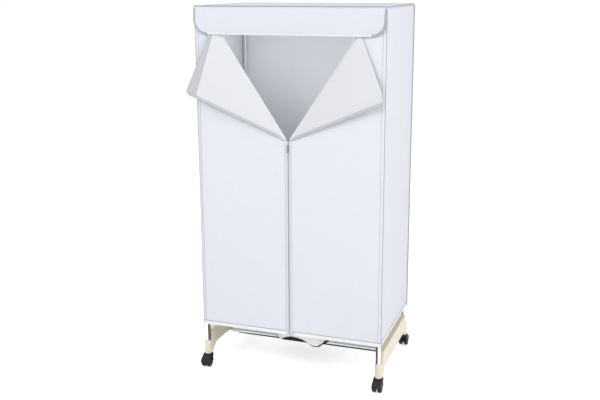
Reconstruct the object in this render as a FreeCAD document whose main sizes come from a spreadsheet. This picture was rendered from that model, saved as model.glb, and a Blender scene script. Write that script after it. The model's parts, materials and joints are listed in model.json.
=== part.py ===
# Portable heated drying cabinet, in millimetres.
# Origin on the floor under the middle of the cabinet: X to the right, the front faces -Y, Z up.
import FreeCAD, Part
import math
import os
import Sketcher

Vector = FreeCAD.Vector
Rotation = FreeCAD.Rotation

doc = FreeCAD.newDocument("DryingCabinet")

# ---------------------------------------------------------------- driving sizes

SIZES = [
    # fabric cover
    ("coverWidth", 745, "outside width of the cover"),
    ("coverDepth", 470, "outside depth of the cover"),
    ("coverHeight", 1470, "top of the cover above the floor"),
    ("cloth", 1, "thickness of the fabric"),
    ("hemHeight", 186, "lower edge of the cover above the floor"),
    ("floorSeam", 202, "underside of the sewn-in floor panel above the floor"),
    ("pipingRadius", 1.5, "radius of the piping cord along the top edge"),
    ("valanceDrop", 105, "height of the valance"),
    ("valanceCorner", 55, "radius of the valance's lower corners"),
    ("valanceOverhang", 2, "valance's end beyond the cover's side"),
    ("valanceFlare", 6, "valance's lower edge ahead of its upper edge"),
    ("valanceBend", 350, "radius in which the valance hangs"),
    ("openHeight", 965, "height at which the front opening begins"),
    ("foldHalfWidth", 265, "half width of the opening at the valance's lower edge"),
    ("foldRadius", 2.2, "radius of the roll in which the front folds back"),
    ("flapAngle", 8, "angle in degrees between a folded flap and the front"),
    ("flapStrip", 44, "width of the left flap's top strip"),
    ("turnedStrip", 18, "width of the right flap's top strip, turned under on itself"),
    ("zipWidth", 6, "width of the zip chain"),
    ("zipBulge", 0.6, "zip chain standing out from the fabric"),
    ("sliderLength", 15, "length of the zip slider"),
    ("sliderWidth", 9, "width of the zip slider"),
    ("sliderTail", 5.4, "width of the zip slider's lower end"),
    ("sliderThickness", 2.4, "thickness of the zip slider"),
    ("pullLength", 24, "length of the zip pull"),
    ("pullWidth", 7, "width of the zip pull"),
    ("pullThickness", 1.4, "thickness of the zip pull"),
    ("pullNeck", 3.4, "length of the zip pull's neck below its crossbar"),
    ("pullShoulder", 5.6, "zip pull's full width begins this far below its crossbar"),
    ("pivotReach", 1.7, "crossbar's centre in front of the zip slider's plate"),
    # tube frame
    ("tubeDiameter", 19, "outside diameter of every tube"),
    ("tubeWall", 1, "wall of every tube"),
    ("tubeFit", 0.2, "radial clearance of a tube or spigot in its socket"),
    ("jointHeight", 790, "underside of the collar between lower and upper post"),
    ("collarHeight", 3, "height of the joining sleeve's collar"),
    ("sleeveInsertion", 28, "length of the joining sleeve inside each post"),
    ("cornerBlock", 20.4, "edge of the top corner connector's block"),
    ("spigotLength", 26, "length of a connector's spigot"),
    ("teeWall", 2.3, "wall of the hanging rail's tee"),
    ("teeLength", 30, "length of the tee's clip along the side tube"),
    ("teeSocket", 22, "depth of the tee's rail socket"),
    # feet
    ("footBottom", 55, "underside of a leg above the floor"),
    ("legWidth", 29, "diameter of a leg"),
    ("legOutset", 2.2, "leg's centre outside the post's centre"),
    ("socketTop", 110, "top of a leg's post socket above the floor"),
    ("socketDepth", 35, "depth of a leg's post socket"),
    ("railWidth", 26, "thickness of the foot's side rail"),
    ("railTop", 152, "top of the side rail above the floor"),
    ("archHeight", 84, "lower edge of the side rail above the floor"),
    ("archSlope", 42, "length over which the rail's lower edge rises from a leg"),
    ("shoulder", 9, "length over which the rail's top rises behind a post"),
    ("archFillet", 38, "radius of the rail's lower bends"),
    ("footEdge", 3, "rounding of the foot's long edges"),
    ("footWall", 3, "wall of the hollow side rail"),
    ("ribThickness", 2.4, "thickness of the ribs in the hollow side rail"),
    ("middleCells", 3, "number of hollows between the cross tubes' sockets"),
    ("endCells", 2, "number of hollows beyond each cross tube's socket"),
    ("bossDiameter", 27, "diameter of a cross tube's boss"),
    ("bossLength", 10, "boss standing in from the side rail"),
    ("crossSocket", 26, "depth of a cross tube's socket"),
    ("crossHeight", 98, "cross tubes' centre above the floor"),
    ("crossSpacing", 134, "distance between the cross tubes"),
    # castors
    ("wheelDiameter", 40, "diameter of a castor wheel"),
    ("wheelWidth", 13, "width of a castor wheel"),
    ("wheelChamfer", 1.8, "chamfer of a castor wheel's outer edge"),
    ("wheelCap", 1.5, "closed outer wall of a castor wheel"),
    ("webWidth", 9, "thickness of the hood's middle web"),
    ("wheelGap", 0.5, "gap between a wheel and the hood"),
    ("castorTrail", 15, "axle's distance from the swivel axis"),
    ("hoodGap", 1.4, "gap between the wheels' tread and the hood"),
    ("hoodWall", 2.4, "wall of the hood"),
    ("swivelGap", 0.3, "gap between the hood and the leg"),
    ("swivelBoss", 21, "diameter of the hood's swivel boss"),
    ("axleDiameter", 5, "diameter of the axle"),
    ("stemDiameter", 8, "diameter of the swivel stem"),
    ("stemInHood", 12, "length of the stem inside the hood"),
    ("stemInLeg", 16, "length of the stem inside the leg"),
    ("runningFit", 0.05, "radial clearance of a turning pin"),
    # heater
    ("heaterWidth", 226, "width of the heater"),
    ("heaterDepth", 214, "depth of the heater"),
    ("heaterCorner", 42, "radius of the heater's upright corners"),
    ("heaterHeight", 126, "height of the heater above its tray's underside"),
    ("heaterWall", 2.5, "wall of the heater's shell"),
    ("heaterShoulder", 12, "rounding of the heater's top edge"),
    ("saddleRise", 4, "tray's underside above the cross tubes' centre"),
    ("trayHeight", 26, "height of the heater's tray"),
    ("trayFloor", 9.5, "thickness of the tray's floor"),
    ("seatGap", 0.3, "radial gap round the outlet grille"),
    ("lipDepth", 12, "depth of the shell's low front lip"),
    ("sideClear", 8, "shell's side edge above the tray's underside"),
    ("lipRise", 15, "shell's lip beside its wave, above the tray's underside"),
    ("crestRise", 20, "crest of the lip's wave above the tray's underside"),
    ("crestStart", 88, "left foot of the wave's crest from the middle"),
    ("crestRadius", 107, "radius of the crest's left flank"),
    ("slopeRadius", 147, "radius of the wave's slope between crest and lobe"),
    ("waveSlope", 37, "slope's upper and lower end from the middle"),
    ("lobeEnd", 106, "right end of the wave's lobe from the middle"),
    ("lobeRadius", 47, "radius of the wave's lobe"),
    ("lobeDrop", 8, "room for the wave's lobe below the tray's underside"),
    ("grilleDiameter", 152, "diameter of the outlet grille"),
    ("grilleThickness", 3, "thickness of the outlet grille"),
    ("grilleHub", 34, "diameter of the grille's middle disc"),
    ("grilleRing", 92, "diameter of the ring between the grille's two rows of slots"),
    ("grilleBar", 3, "width of the grille's rings and rim"),
    ("slotWidth", 5, "width of a grille slot"),
    ("innerSlots", 12, "number of slots in the grille's inner row"),
    ("outerSlots", 30, "number of slots in the grille's outer row"),
    ("intakeSlots", 9, "number of slots in the tray's air intake"),
    ("intakeWidth", 113, "length of a slot in the tray's air intake"),
    ("fanDiameter", 138, "diameter of the fan"),
    ("fanHub", 40, "diameter of the fan's hub"),
    ("fanHeight", 18, "height of the fan's hub"),
    ("fanGap", 2, "gap above and below the fan"),
    ("bladeChord", 34, "width of a fan blade"),
    ("bladeThickness", 1.6, "thickness of a fan blade"),
    ("bladeAngle", 32, "slope of a fan blade in degrees"),
    ("fanBlades", 7, "number of fan blades"),
    ("motorDiameter", 54, "diameter of the motor"),
    ("motorHeight", 34, "height of the motor"),
    ("shaftDiameter", 5, "diameter of the fan's shaft"),
    ("shaftLength", 20, "length of the fan's shaft inside the motor"),
    ("elementSize", 124, "width and depth of the heating element's frame"),
    ("elementHeight", 16, "height of the heating element"),
    ("elementWall", 4, "wall of the heating element's frame"),
    ("elementLeg", 8, "width of the heating element's legs"),
    ("finThickness", 3, "thickness of the heating element's fins"),
    ("elementFins", 9, "number of the heating element's fins"),
    ("knobDiameter", 34, "diameter of the timer knob"),
    ("knobHeight", 16, "height of the timer knob"),
    ("knobRise", 64, "timer knob's centre above the tray's underside"),
    ("knobShaft", 6, "diameter of the timer knob's shaft"),
    ("knobGap", 0.5, "gap between the timer knob and the shell"),
    ("knobReach", 14, "length of the timer knob's shaft behind the knob"),
    ("gripWidth", 7, "width of the timer knob's grip"),
    ("inletWidth", 27, "width of the power inlet's body"),
    ("inletHeight", 20, "height of the power inlet's body"),
    ("inletDepth", 18, "depth of the power inlet's body behind its flange"),
    ("inletFlange", 3, "power inlet's flange, its thickness and its overhang"),
    ("inletRise", 40, "power inlet's centre above the tray's underside"),
    ("pinDiameter", 2.4, "diameter of the power inlet's contact pins"),
    ("pinSpacing", 8.6, "distance between the power inlet's contact pins"),
    ("inletRecess", 12, "depth of the power inlet's socket"),
    ("clothGap", 1, "gap between the floor panel and what passes through it"),
]

# ---------------------------------------------------------------- places worked out from the sizes

PLACES = [
    ("postX", "Sizes.coverWidth / 2 - Sizes.cloth - Sizes.cornerBlock / 2"),
    ("postY", "Sizes.coverDepth / 2 - Sizes.cloth - Sizes.cornerBlock / 2"),
    ("frameZ", "Sizes.coverHeight - Sizes.cloth - Sizes.cornerBlock / 2"),
    ("footX", "Places.postX + Sizes.legOutset"),
    ("tubeRadius", "Sizes.tubeDiameter / 2"),
    ("socketRadius", "Sizes.tubeDiameter / 2 + Sizes.tubeFit"),
    ("spigotRadius", "Sizes.tubeDiameter / 2 - Sizes.tubeWall - Sizes.tubeFit"),
    ("crossY", "Sizes.crossSpacing / 2"),
    ("legRear", "Places.postY - Sizes.legWidth / 2"),
    ("bossFace", "Places.footX - Sizes.railWidth / 2 - Sizes.bossLength"),
    ("crossEnd", "Places.bossFace + Sizes.crossSocket"),
    ("wheelRadius", "Sizes.wheelDiameter / 2"),
    ("hoodTop", "Sizes.footBottom - Sizes.swivelGap"),
    ("hoodInner", "Sizes.wheelDiameter / 2 + Sizes.hoodGap"),
    ("wheelInside", "Sizes.webWidth / 2 + Sizes.wheelGap"),
    ("trayZ", "Sizes.crossHeight + Sizes.saddleRise"),
    ("heaterTop", "Sizes.crossHeight + Sizes.saddleRise + Sizes.heaterHeight"),
    ("valanceBottom", "Sizes.coverHeight - Sizes.valanceDrop"),
    ("valanceY", "-Sizes.coverDepth / 2 - 2 * Sizes.pipingRadius - Sizes.runningFit"),
    ("stripTop", "Sizes.coverHeight - Sizes.valanceDrop + Sizes.flapStrip"),
    ("foldY", "-Sizes.coverDepth / 2 - Sizes.cloth"),
    ("pipingZ", "Sizes.coverHeight - Sizes.pipingRadius"),
]


def fillSheet(name, rows, formula):
    sheet = doc.addObject("Spreadsheet::Sheet", name)
    for row, entry in enumerate(rows, 1):
        sheet.set(f"A{row}", entry[0])
        sheet.set(f"B{row}", formula + str(entry[1]))
        sheet.setAlias(f"B{row}", entry[0])
        if len(entry) > 2:
            sheet.set(f"C{row}", entry[2])
    doc.recompute()
    return sheet


sizes = fillSheet("Sizes", SIZES, "")
places = fillSheet("Places", PLACES, "=")


def num(expression):
    return float(sizes.evalExpression(expression))


# ---------------------------------------------------------------- sketches and features

nodes = []


def node(item, label):
    item.Label = label
    nodes.append(item)
    return item


def bind(item, **properties):
    for name, expression in properties.items():
        item.setExpression(name.replace("_", "."), expression)
    return item


def put(item, x="0", y="0", z="0", rotation=None):
    if rotation is not None:
        item.Placement = FreeCAD.Placement(Vector(0, 0, 0), rotation)
    return bind(item, Placement_Base_x=x, Placement_Base_y=y, Placement_Base_z=z)


def newBody(label):
    return node(doc.addObject("PartDesign::Body", label), label)


def newSketch(body, plane, offset="0"):
    sketch = body.newObject("Sketcher::SketchObject", "Sketch")
    base = next(item for item in body.Origin.OriginFeatures if item.Role == plane)
    sketch.AttachmentSupport = (base, "")
    sketch.MapMode = "FlatFace"
    sketch.setExpression("AttachmentOffset.Base.z", offset)
    return sketch


def limit(sketch, kind, arguments, expression):
    number = sketch.addConstraint(Sketcher.Constraint(kind, *arguments, num(expression)))
    sketch.setExpression(f"Constraints[{number}]", expression)


def pinPoint(sketch, geometry, end, u, v):
    limit(sketch, "DistanceX", (-1, 1, geometry, end), u)
    limit(sketch, "DistanceY", (-1, 1, geometry, end), v)


def arcBetween(start, end, radius):
    # the centre lies left of the way from start to end where the radius is positive
    half = (end - start) * 0.5
    side = Vector(-half.y, half.x, 0).normalize()
    rise = math.sqrt(radius ** 2 - half.Length ** 2)
    centre = start + half + side * math.copysign(rise, radius)
    first, last = (start, end) if radius > 0 else (end, start)
    angles = [math.atan2(point.y - centre.y, point.x - centre.x) for point in (first, last)]
    return Part.ArcOfCircle(Part.Circle(centre, Vector(0, 0, 1), abs(radius)), angles[0], angles[1])


def outline(sketch, points):
    # closed outline; a third entry is the radius of the arc that leaves the point, negative for clockwise
    corners = [Vector(num(point[0]), num(point[1]), 0) for point in points]
    first = sketch.GeometryCount
    count = len(points)
    ends = []
    for index, point in enumerate(points):
        start, end = corners[index], corners[(index + 1) % count]
        if len(point) > 2:
            radius = num(point[2])
            sketch.addGeometry(arcBetween(start, end, radius), False)
            ends.append((1, 2) if radius > 0 else (2, 1))
        else:
            sketch.addGeometry(Part.LineSegment(start, end), False)
            ends.append((1, 2))
    for index, point in enumerate(points):
        follower = (index + 1) % count
        here, there = first + index, first + follower
        meeting = (here, ends[index][1], there, ends[follower][0])
        sketch.addConstraint(Sketcher.Constraint("Coincident", *meeting))
        pinPoint(sketch, here, ends[index][0], point[0], point[1])
        if len(point) > 2:
            size = point[2] if num(point[2]) > 0 else f"-({point[2]})"
            limit(sketch, "Radius", (here,), size)


def box(sketch, u0, v0, u1, v1):
    outline(sketch, [(u0, v0), (u1, v0), (u1, v1), (u0, v1)])


def circle(sketch, u, v, radius):
    index = sketch.addGeometry(Part.Circle(Vector(num(u), num(v), 0), Vector(0, 0, 1), num(radius)), False)
    pinPoint(sketch, index, 3, u, v)
    limit(sketch, "Radius", (index,), radius)


def pad(body, sketch, length, midplane=False, backwards=False):
    feature = body.newObject("PartDesign::Pad", "Pad")
    feature.Profile = sketch
    feature.Midplane = midplane
    feature.Reversed = backwards
    feature.setExpression("Length", length)
    return feature


def pocket(body, sketch, depth=None, midplane=False, backwards=False):
    doc.recompute()
    before = body.Shape.Volume
    feature = body.newObject("PartDesign::Pocket", "Pocket")
    feature.Profile = sketch
    feature.Midplane = midplane
    feature.Reversed = backwards
    if depth is None:
        feature.Type = "ThroughAll"
    else:
        feature.setExpression("Length", depth)
    doc.recompute()
    if not body.Shape.Volume < before:
        raise RuntimeError(f"a pocket in {body.Label} cuts nothing")
    return feature


def fillet(body, test, radius):
    doc.recompute()
    base = body.Tip
    names = [f"Edge{number}" for number, edge in enumerate(base.Shape.Edges, 1) if test(edge)]
    if not names:
        raise RuntimeError(f"no edge to round in {body.Label}")
    feature = body.newObject("PartDesign::Fillet", "Fillet")
    feature.Base = (base, names)
    feature.setExpression("Radius", radius)
    return feature


def isLine(edge):
    return isinstance(edge.Curve, Part.Line)


def isNear(place, wanted):
    return abs(place - wanted) < 0.1


def runsAlong(edge, direction):
    return isLine(edge) and edge.Curve.Direction.cross(Vector(*direction)).Length < 1e-6


def cylinder(radius, length, x="0", y="0", z="0", rotation=None):
    item = doc.addObject("Part::Cylinder", "Cylinder")
    bind(item, Radius=radius, Height=length)
    return put(item, x, y, z, rotation)


def block(length, width, height, x="0", y="0", z="0"):
    item = doc.addObject("Part::Box", "Block")
    bind(item, Length=length, Width=width, Height=height)
    return put(item, x, y, z)


def fuse(items):
    item = doc.addObject("Part::MultiFuse", "Fusion")
    item.Shapes = items
    return item


def cut(base, tool):
    item = doc.addObject("Part::Cut", "Cut")
    item.Base = base
    item.Tool = tool
    return item


def group(items, label):
    item = doc.addObject("Part::Compound", label)
    item.Links = items
    return node(item, label)


ALONG_X = Rotation(Vector(0, 1, 0), 90)
ALONG_Y = Rotation(Vector(1, 0, 0), -90)
SIDES = [("left", -1), ("right", 1)]
ENDS = [("front", -1), ("back", 1)]
CORNERS = [(f"{end}_{side}", signX, signY) for end, signY in ENDS for side, signX in SIDES]


# ---------------------------------------------------------------- tube frame

def tube(label, length, x="0", y="0", z="0", rotation=None):
    wall = cylinder("Places.tubeRadius", length, x, y, z, rotation)
    bore = cylinder("Places.tubeRadius - Sizes.tubeWall", length, x, y, z, rotation)
    return node(cut(wall, bore), label)


def makePosts():
    for corner, signX, signY in CORNERS:
        x, y = f"{signX} * Places.postX", f"{signY} * Places.postY"
        bottom = "Sizes.socketTop - Sizes.socketDepth"
        tube(f"post_lower_{corner}", f"Sizes.jointHeight - ({bottom})", x, y, bottom)
        start = "Sizes.jointHeight + Sizes.collarHeight"
        tube(f"post_upper_{corner}", f"Places.frameZ - Sizes.cornerBlock / 2 - ({start})", x, y, start)


def makeJoiners():
    # a sleeve inside both posts, with a collar that their ends meet
    joiners = []
    for corner, signX, signY in CORNERS:
        x, y = f"{signX} * Places.postX", f"{signY} * Places.postY"
        length = "2 * Sizes.sleeveInsertion + Sizes.collarHeight"
        sleeve = cylinder("Places.spigotRadius", length, x, y, "Sizes.jointHeight - Sizes.sleeveInsertion")
        collar = cylinder("Places.tubeRadius", "Sizes.collarHeight", x, y, "Sizes.jointHeight")
        joiners.append(fuse([sleeve, collar]))
    group(joiners, "post_joiners")


def makeTopCorners():
    # block with a spigot down into the post, one along the front or back tube and one along the side tube
    half = "Sizes.cornerBlock / 2"
    edge, reach = "Sizes.cornerBlock", "Sizes.cornerBlock / 2 + Sizes.spigotLength"
    connectors = []
    for corner, signX, signY in CORNERS:
        x, y = f"{signX} * Places.postX", f"{signY} * Places.postY"
        body = block(edge, edge, edge, f"{x} - {half}", f"{y} - {half}", f"Places.frameZ - {half}")
        turnX = Rotation(Vector(0, 1, 0), -90 * signX)
        turnY = Rotation(Vector(1, 0, 0), 90 * signY)
        arms = [
            cylinder("Places.spigotRadius", reach, x, y, f"Places.frameZ - ({reach})"),
            cylinder("Places.spigotRadius", reach, x, y, "Places.frameZ", turnX),
            cylinder("Places.spigotRadius", reach, x, y, "Places.frameZ", turnY),
        ]
        connectors.append(fuse([body] + arms))
    group(connectors, "top_corners")


def makeTopTubes():
    half = "Sizes.cornerBlock / 2"
    lengthX = f"2 * (Places.postX - {half})"
    lengthY = f"2 * (Places.postY - {half})"
    for end, sign in ENDS:
        tube(f"top_tube_{end}", lengthX, f"{half} - Places.postX", f"{sign} * Places.postY",
             "Places.frameZ", ALONG_X)
    for side, sign in SIDES:
        tube(f"top_tube_{side}", lengthY, f"{sign} * Places.postX", f"{half} - Places.postY",
             "Places.frameZ", ALONG_Y)
    gap = "(Places.tubeRadius + Sizes.teeWall)"
    tube("hanging_rail", f"2 * (Places.postX - {gap})", f"{gap} - Places.postX", "0",
         "Places.frameZ", ALONG_X)


def makeTees():
    # a clip round the inner side of a side tube, with a socket for the hanging rail
    outer = "Places.socketRadius + Sizes.teeWall"
    tees = []
    for side, sign in SIDES:
        x = f"{sign} * Places.postX"
        inward = Rotation(Vector(0, 1, 0), -90 * sign)
        clip = cylinder(outer, "Sizes.teeLength", x, "-Sizes.teeLength / 2", "Places.frameZ", ALONG_Y)
        reach = "Places.tubeRadius + Sizes.teeWall + Sizes.teeSocket"
        socket = cylinder(outer, reach, x, "0", "Places.frameZ", inward)
        passage = cylinder("Places.tubeRadius", "Sizes.teeLength", x, "-Sizes.teeLength / 2",
                           "Places.frameZ", ALONG_Y)
        start = f"{sign} * (Places.postX - Places.tubeRadius - Sizes.teeWall)"
        bore = cylinder("Places.socketRadius", "Sizes.teeSocket", start, "0", "Places.frameZ", inward)
        opening = "Sizes.tubeDiameter"
        left = "Places.postX + Places.tubeRadius / 2"
        corner = left if sign > 0 else f"-({left}) - {opening}"
        mouth = block(opening, "2 * Sizes.teeLength", f"2 * {opening}", corner, "-Sizes.teeLength",
                      f"Places.frameZ - {opening}")
        trim = block("4 * Sizes.teeSocket", "2 * Sizes.teeLength", opening, f"{x} - 2 * Sizes.teeSocket",
                     "-Sizes.teeLength", "Places.frameZ + Sizes.cornerBlock / 2")
        tees.append(cut(fuse([clip, socket]), fuse([passage, bore, mouth, trim])))
    group(tees, "rail_tees")


# ---------------------------------------------------------------- feet

def railCells(sketch):
    # pockets between the ribs, inside and outside the cross tubes' sockets
    half = "(Sizes.railWidth / 2 - Sizes.footWall)"
    inner = "(Places.crossY - Sizes.bossDiameter / 2)"
    outer = "(Places.crossY + Sizes.bossDiameter / 2)"
    end = "(Places.legRear - Sizes.archSlope)"
    beyond, between = round(num("Sizes.endCells")), round(num("Sizes.middleCells"))
    spans = [(f"-{end}", f"-{outer}", beyond), (f"-{inner}", inner, between), (outer, end, beyond)]
    for start, stop, count in spans:
        cell = f"(({stop} - ({start}) - {count - 1} * Sizes.ribThickness) / {count})"
        for index in range(count):
            low = f"{start} + {index} * ({cell} + Sizes.ribThickness)"
            box(sketch, f"-{half}", low, half, f"{low} + {cell}")


def makeFoot(side, sign):
    foot = newBody(f"foot_{side}")
    put(foot, f"{sign} * Places.footX")
    slope = "(Places.legRear - Sizes.archSlope)"
    crest = "(Places.legRear - Sizes.shoulder)"
    profile = newSketch(foot, "YZ_Plane")
    outline(profile, [
        ("-Places.postY", "Sizes.footBottom"),
        ("-Places.legRear", "Sizes.footBottom"),
        (f"-{slope}", "Sizes.archHeight"),
        (slope, "Sizes.archHeight"),
        ("Places.legRear", "Sizes.footBottom"),
        ("Places.postY", "Sizes.footBottom"),
        ("Places.postY", "Sizes.socketTop"),
        ("Places.legRear", "Sizes.socketTop"),
        (crest, "Sizes.railTop"),
        (f"-{crest}", "Sizes.railTop"),
        ("-Places.legRear", "Sizes.socketTop"),
        ("-Places.postY", "Sizes.socketTop"),
    ])
    pad(foot, profile, "Sizes.railWidth", midplane=True)
    bendY, bendZ, highest = num(slope), num("Sizes.archHeight"), num("Sizes.railTop")

    def isBend(edge):
        middle = edge.CenterOfMass
        return runsAlong(edge, (1, 0, 0)) and isNear(abs(middle.y), bendY) and isNear(middle.z, bendZ)

    fillet(foot, isBend, "Sizes.archFillet")
    fillet(foot, lambda edge: runsAlong(edge, (0, 1, 0)) and isNear(edge.CenterOfMass.z, highest),
           "Sizes.footEdge")
    legs = newSketch(foot, "XY_Plane", "Sizes.footBottom")
    for end in (-1, 1):
        circle(legs, "0", f"{end} * Places.postY", "Sizes.legWidth / 2")
    pad(foot, legs, "Sizes.socketTop - Sizes.footBottom")
    hollow = newSketch(foot, "XY_Plane", "Sizes.archHeight - Sizes.footWall")
    railCells(hollow)
    pocket(foot, hollow, "Sizes.railTop - Sizes.archHeight", backwards=True)
    inward = -sign
    face = newSketch(foot, "YZ_Plane", f"{inward} * Sizes.railWidth / 2")
    mouth = newSketch(foot, "YZ_Plane", f"{inward} * (Sizes.railWidth / 2 + Sizes.bossLength)")
    for end in (-1, 1):
        circle(face, f"{end} * Places.crossY", "Sizes.crossHeight", "Sizes.bossDiameter / 2")
        circle(mouth, f"{end} * Places.crossY", "Sizes.crossHeight", "Places.socketRadius")
    pad(foot, face, "Sizes.bossLength", backwards=inward < 0)
    pocket(foot, mouth, "Sizes.crossSocket", backwards=inward < 0)
    top = newSketch(foot, "XY_Plane", "Sizes.socketTop")
    under = newSketch(foot, "XY_Plane", "Sizes.footBottom")
    for end in (-1, 1):
        circle(top, f"{inward} * Sizes.legOutset", f"{end} * Places.postY", "Places.socketRadius")
        circle(under, "0", f"{end} * Places.postY", "Sizes.stemDiameter / 2 + Sizes.runningFit")
    pocket(foot, top, "Sizes.socketDepth")
    pocket(foot, under, "Sizes.stemInLeg + Sizes.swivelGap", backwards=True)


def makeFeet():
    for side, sign in SIDES:
        makeFoot(side, sign)
    for end, sign in ENDS:
        tube(f"base_tube_{end}", "2 * Places.crossEnd", "-Places.crossEnd", f"{sign} * Places.crossY",
             "Sizes.crossHeight", ALONG_X)


# ---------------------------------------------------------------- castors

def makeHood(label, turn, x, y):
    hood = newBody(label)
    put(hood, x, y, rotation=turn)
    axle = "-Sizes.castorTrail"
    width = "Sizes.webWidth + 2 * (Sizes.wheelWidth + 2 * Sizes.wheelGap)"
    cover = newSketch(hood, "YZ_Plane")
    circle(cover, axle, "Places.wheelRadius", "Places.hoodInner + Sizes.hoodWall")
    circle(cover, axle, "Places.wheelRadius", "Places.hoodInner")
    pad(hood, cover, width, midplane=True)
    reach = "2 * Places.hoodInner"
    below = newSketch(hood, "YZ_Plane")
    outline(below, [
        (f"{axle} - {reach}", "-Places.hoodInner"),
        (f"{axle} + {reach}", "-Places.hoodInner"),
        (f"{axle} + {reach}", "Places.wheelRadius - Sizes.hoodWall"),
        (axle, "Places.wheelRadius"),
        (f"{axle} - {reach}", "Places.wheelRadius + 2 * Sizes.hoodWall"),
    ])
    pocket(hood, below, f"2 * ({width})", midplane=True)
    web = newSketch(hood, "YZ_Plane")
    outline(web, [
        (f"{axle} - Sizes.axleDiameter", "Places.wheelRadius - Sizes.axleDiameter"),
        (f"{axle} + Sizes.axleDiameter", "Places.wheelRadius - Sizes.axleDiameter"),
        ("(Sizes.swivelBoss - Sizes.hoodWall) / 2", "Places.hoodTop - Sizes.stemInHood"),
        ("(Sizes.swivelBoss - Sizes.hoodWall) / 2", "Places.hoodTop"),
        ("-(Sizes.swivelBoss - Sizes.hoodWall) / 2", "Places.hoodTop"),
        (f"{axle} - Sizes.axleDiameter", "Places.wheelRadius + Places.hoodInner + Sizes.hoodWall / 2"),
    ])
    pad(hood, web, "Sizes.webWidth", midplane=True)
    crown = newSketch(hood, "XY_Plane", "Places.hoodTop")
    circle(crown, "0", "0", "Sizes.swivelBoss / 2")
    pad(hood, crown, "Places.hoodTop - Places.wheelRadius - Places.hoodInner", backwards=True)
    bore = newSketch(hood, "XY_Plane", "Places.hoodTop")
    circle(bore, "0", "0", "Sizes.stemDiameter / 2")
    pocket(hood, bore, "Sizes.stemInHood")
    eye = newSketch(hood, "YZ_Plane")
    circle(eye, axle, "Places.wheelRadius", "Sizes.axleDiameter / 2")
    pocket(hood, eye, "2 * Sizes.webWidth", midplane=True)


def makePins(label, turn, x, y):
    half = "(Places.wheelInside + Sizes.wheelWidth - Sizes.wheelCap - Sizes.wheelGap)"
    axle = cylinder("Sizes.axleDiameter / 2", f"2 * {half}", f"-{half}", "-Sizes.castorTrail",
                    "Places.wheelRadius", ALONG_X)
    stem = cylinder("Sizes.stemDiameter / 2", "Sizes.stemInHood + Sizes.stemInLeg",
                    z="Places.hoodTop - Sizes.stemInHood")
    put(group([axle, stem], label), x, y, rotation=turn)


def makeWheel(label, turn, x, y, outward):
    wheel = newBody(label)
    section = newSketch(wheel, "XZ_Plane")
    bore = "Sizes.axleDiameter / 2 + Sizes.runningFit"
    outline(section, [
        ("0", bore),
        ("0", "Places.wheelRadius"),
        ("Sizes.wheelWidth - Sizes.wheelChamfer", "Places.wheelRadius"),
        ("Sizes.wheelWidth", "Places.wheelRadius - Sizes.wheelChamfer"),
        ("Sizes.wheelWidth", "0"),
        ("Sizes.wheelWidth - Sizes.wheelCap", "0"),
        ("Sizes.wheelWidth - Sizes.wheelCap", bore),
    ])
    turning = wheel.newObject("PartDesign::Revolution", "Revolution")
    turning.Profile = section
    turning.ReferenceAxis = (section, ["H_Axis"])
    turning.Angle = 360
    face = Rotation(Vector(0, 0, 1), 0 if outward > 0 else 180)
    spin = turn.multiply(face)
    ahead = turn.multVec(Vector(outward, -1, 0))
    put(wheel, f"{x} + {round(ahead.x)} * Places.wheelInside", f"{y} + {round(ahead.y)} * Sizes.castorTrail",
        "Places.wheelRadius", spin)


def makeCastors():
    for corner, signX, signY in CORNERS:
        x, y = f"{signX} * Places.footX", f"{signY} * Places.postY"
        turn = Rotation(Vector(0, 0, 1), 0 if signY < 0 else 180)
        makeHood(f"castor_{corner}_hood", turn, x, y)
        makePins(f"castor_{corner}_pins", turn, x, y)
        makeWheel(f"castor_{corner}_wheel_a", turn, x, y, 1)
        makeWheel(f"castor_{corner}_wheel_b", turn, x, y, -1)


# ---------------------------------------------------------------- fabric cover

def makePanels():
    height = "Sizes.coverHeight - Sizes.cloth - Sizes.hemHeight"
    innerWidth = "Sizes.coverWidth - 2 * Sizes.cloth"
    top = block("Sizes.coverWidth", "Sizes.coverDepth", "Sizes.cloth", "-Sizes.coverWidth / 2",
                "-Sizes.coverDepth / 2", "Sizes.coverHeight - Sizes.cloth")
    node(top, "cover_top")
    back = block(innerWidth, "Sizes.cloth", height, f"-({innerWidth}) / 2",
                 "Sizes.coverDepth / 2 - Sizes.cloth", "Sizes.hemHeight")
    node(back, "cover_back")
    for side, sign in SIDES:
        x = "Sizes.coverWidth / 2 - Sizes.cloth" if sign > 0 else "-Sizes.coverWidth / 2"
        panel = block("Sizes.cloth", "Sizes.coverDepth", height, x, "-Sizes.coverDepth / 2",
                      "Sizes.hemHeight")
        node(panel, f"cover_side_{side}")


def foldDirection():
    # sine and cosine of the fold line's angle to the vertical
    rise = num("Places.valanceBottom - Sizes.openHeight")
    length = math.hypot(num("Sizes.foldHalfWidth"), rise)
    return num("Sizes.foldHalfWidth") / length, rise / length


def makeFrontPanel(side, sign):
    # the slanting edge clears the fold's roll and ends where the flap's strip does
    panel = newBody(f"cover_front_{side}")
    clear = f"((Sizes.foldRadius + Sizes.runningFit) / {foldDirection()[1]:.9f})"
    slope = "Sizes.foldHalfWidth / (Places.valanceBottom - Sizes.openHeight)"
    outer = f"{sign} * (Sizes.coverWidth / 2 - Sizes.cloth)"
    top = "Sizes.coverHeight - Sizes.cloth"
    start = f"Sizes.openHeight + (Sizes.zipWidth / 2 - {clear}) / ({slope})"
    jamb = f"{sign} * ((Places.stripTop - Sizes.openHeight) * {slope} + {clear})"
    sketch = newSketch(panel, "XZ_Plane", "Sizes.coverDepth / 2 - Sizes.cloth")
    outline(sketch, [
        (outer, "Sizes.hemHeight"),
        (f"{sign} * Sizes.zipWidth / 2", "Sizes.hemHeight"),
        (f"{sign} * Sizes.zipWidth / 2", start),
        (jamb, "Places.stripTop"),
        (jamb, top),
        (outer, top),
    ])
    pad(panel, sketch, "Sizes.cloth")


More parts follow.
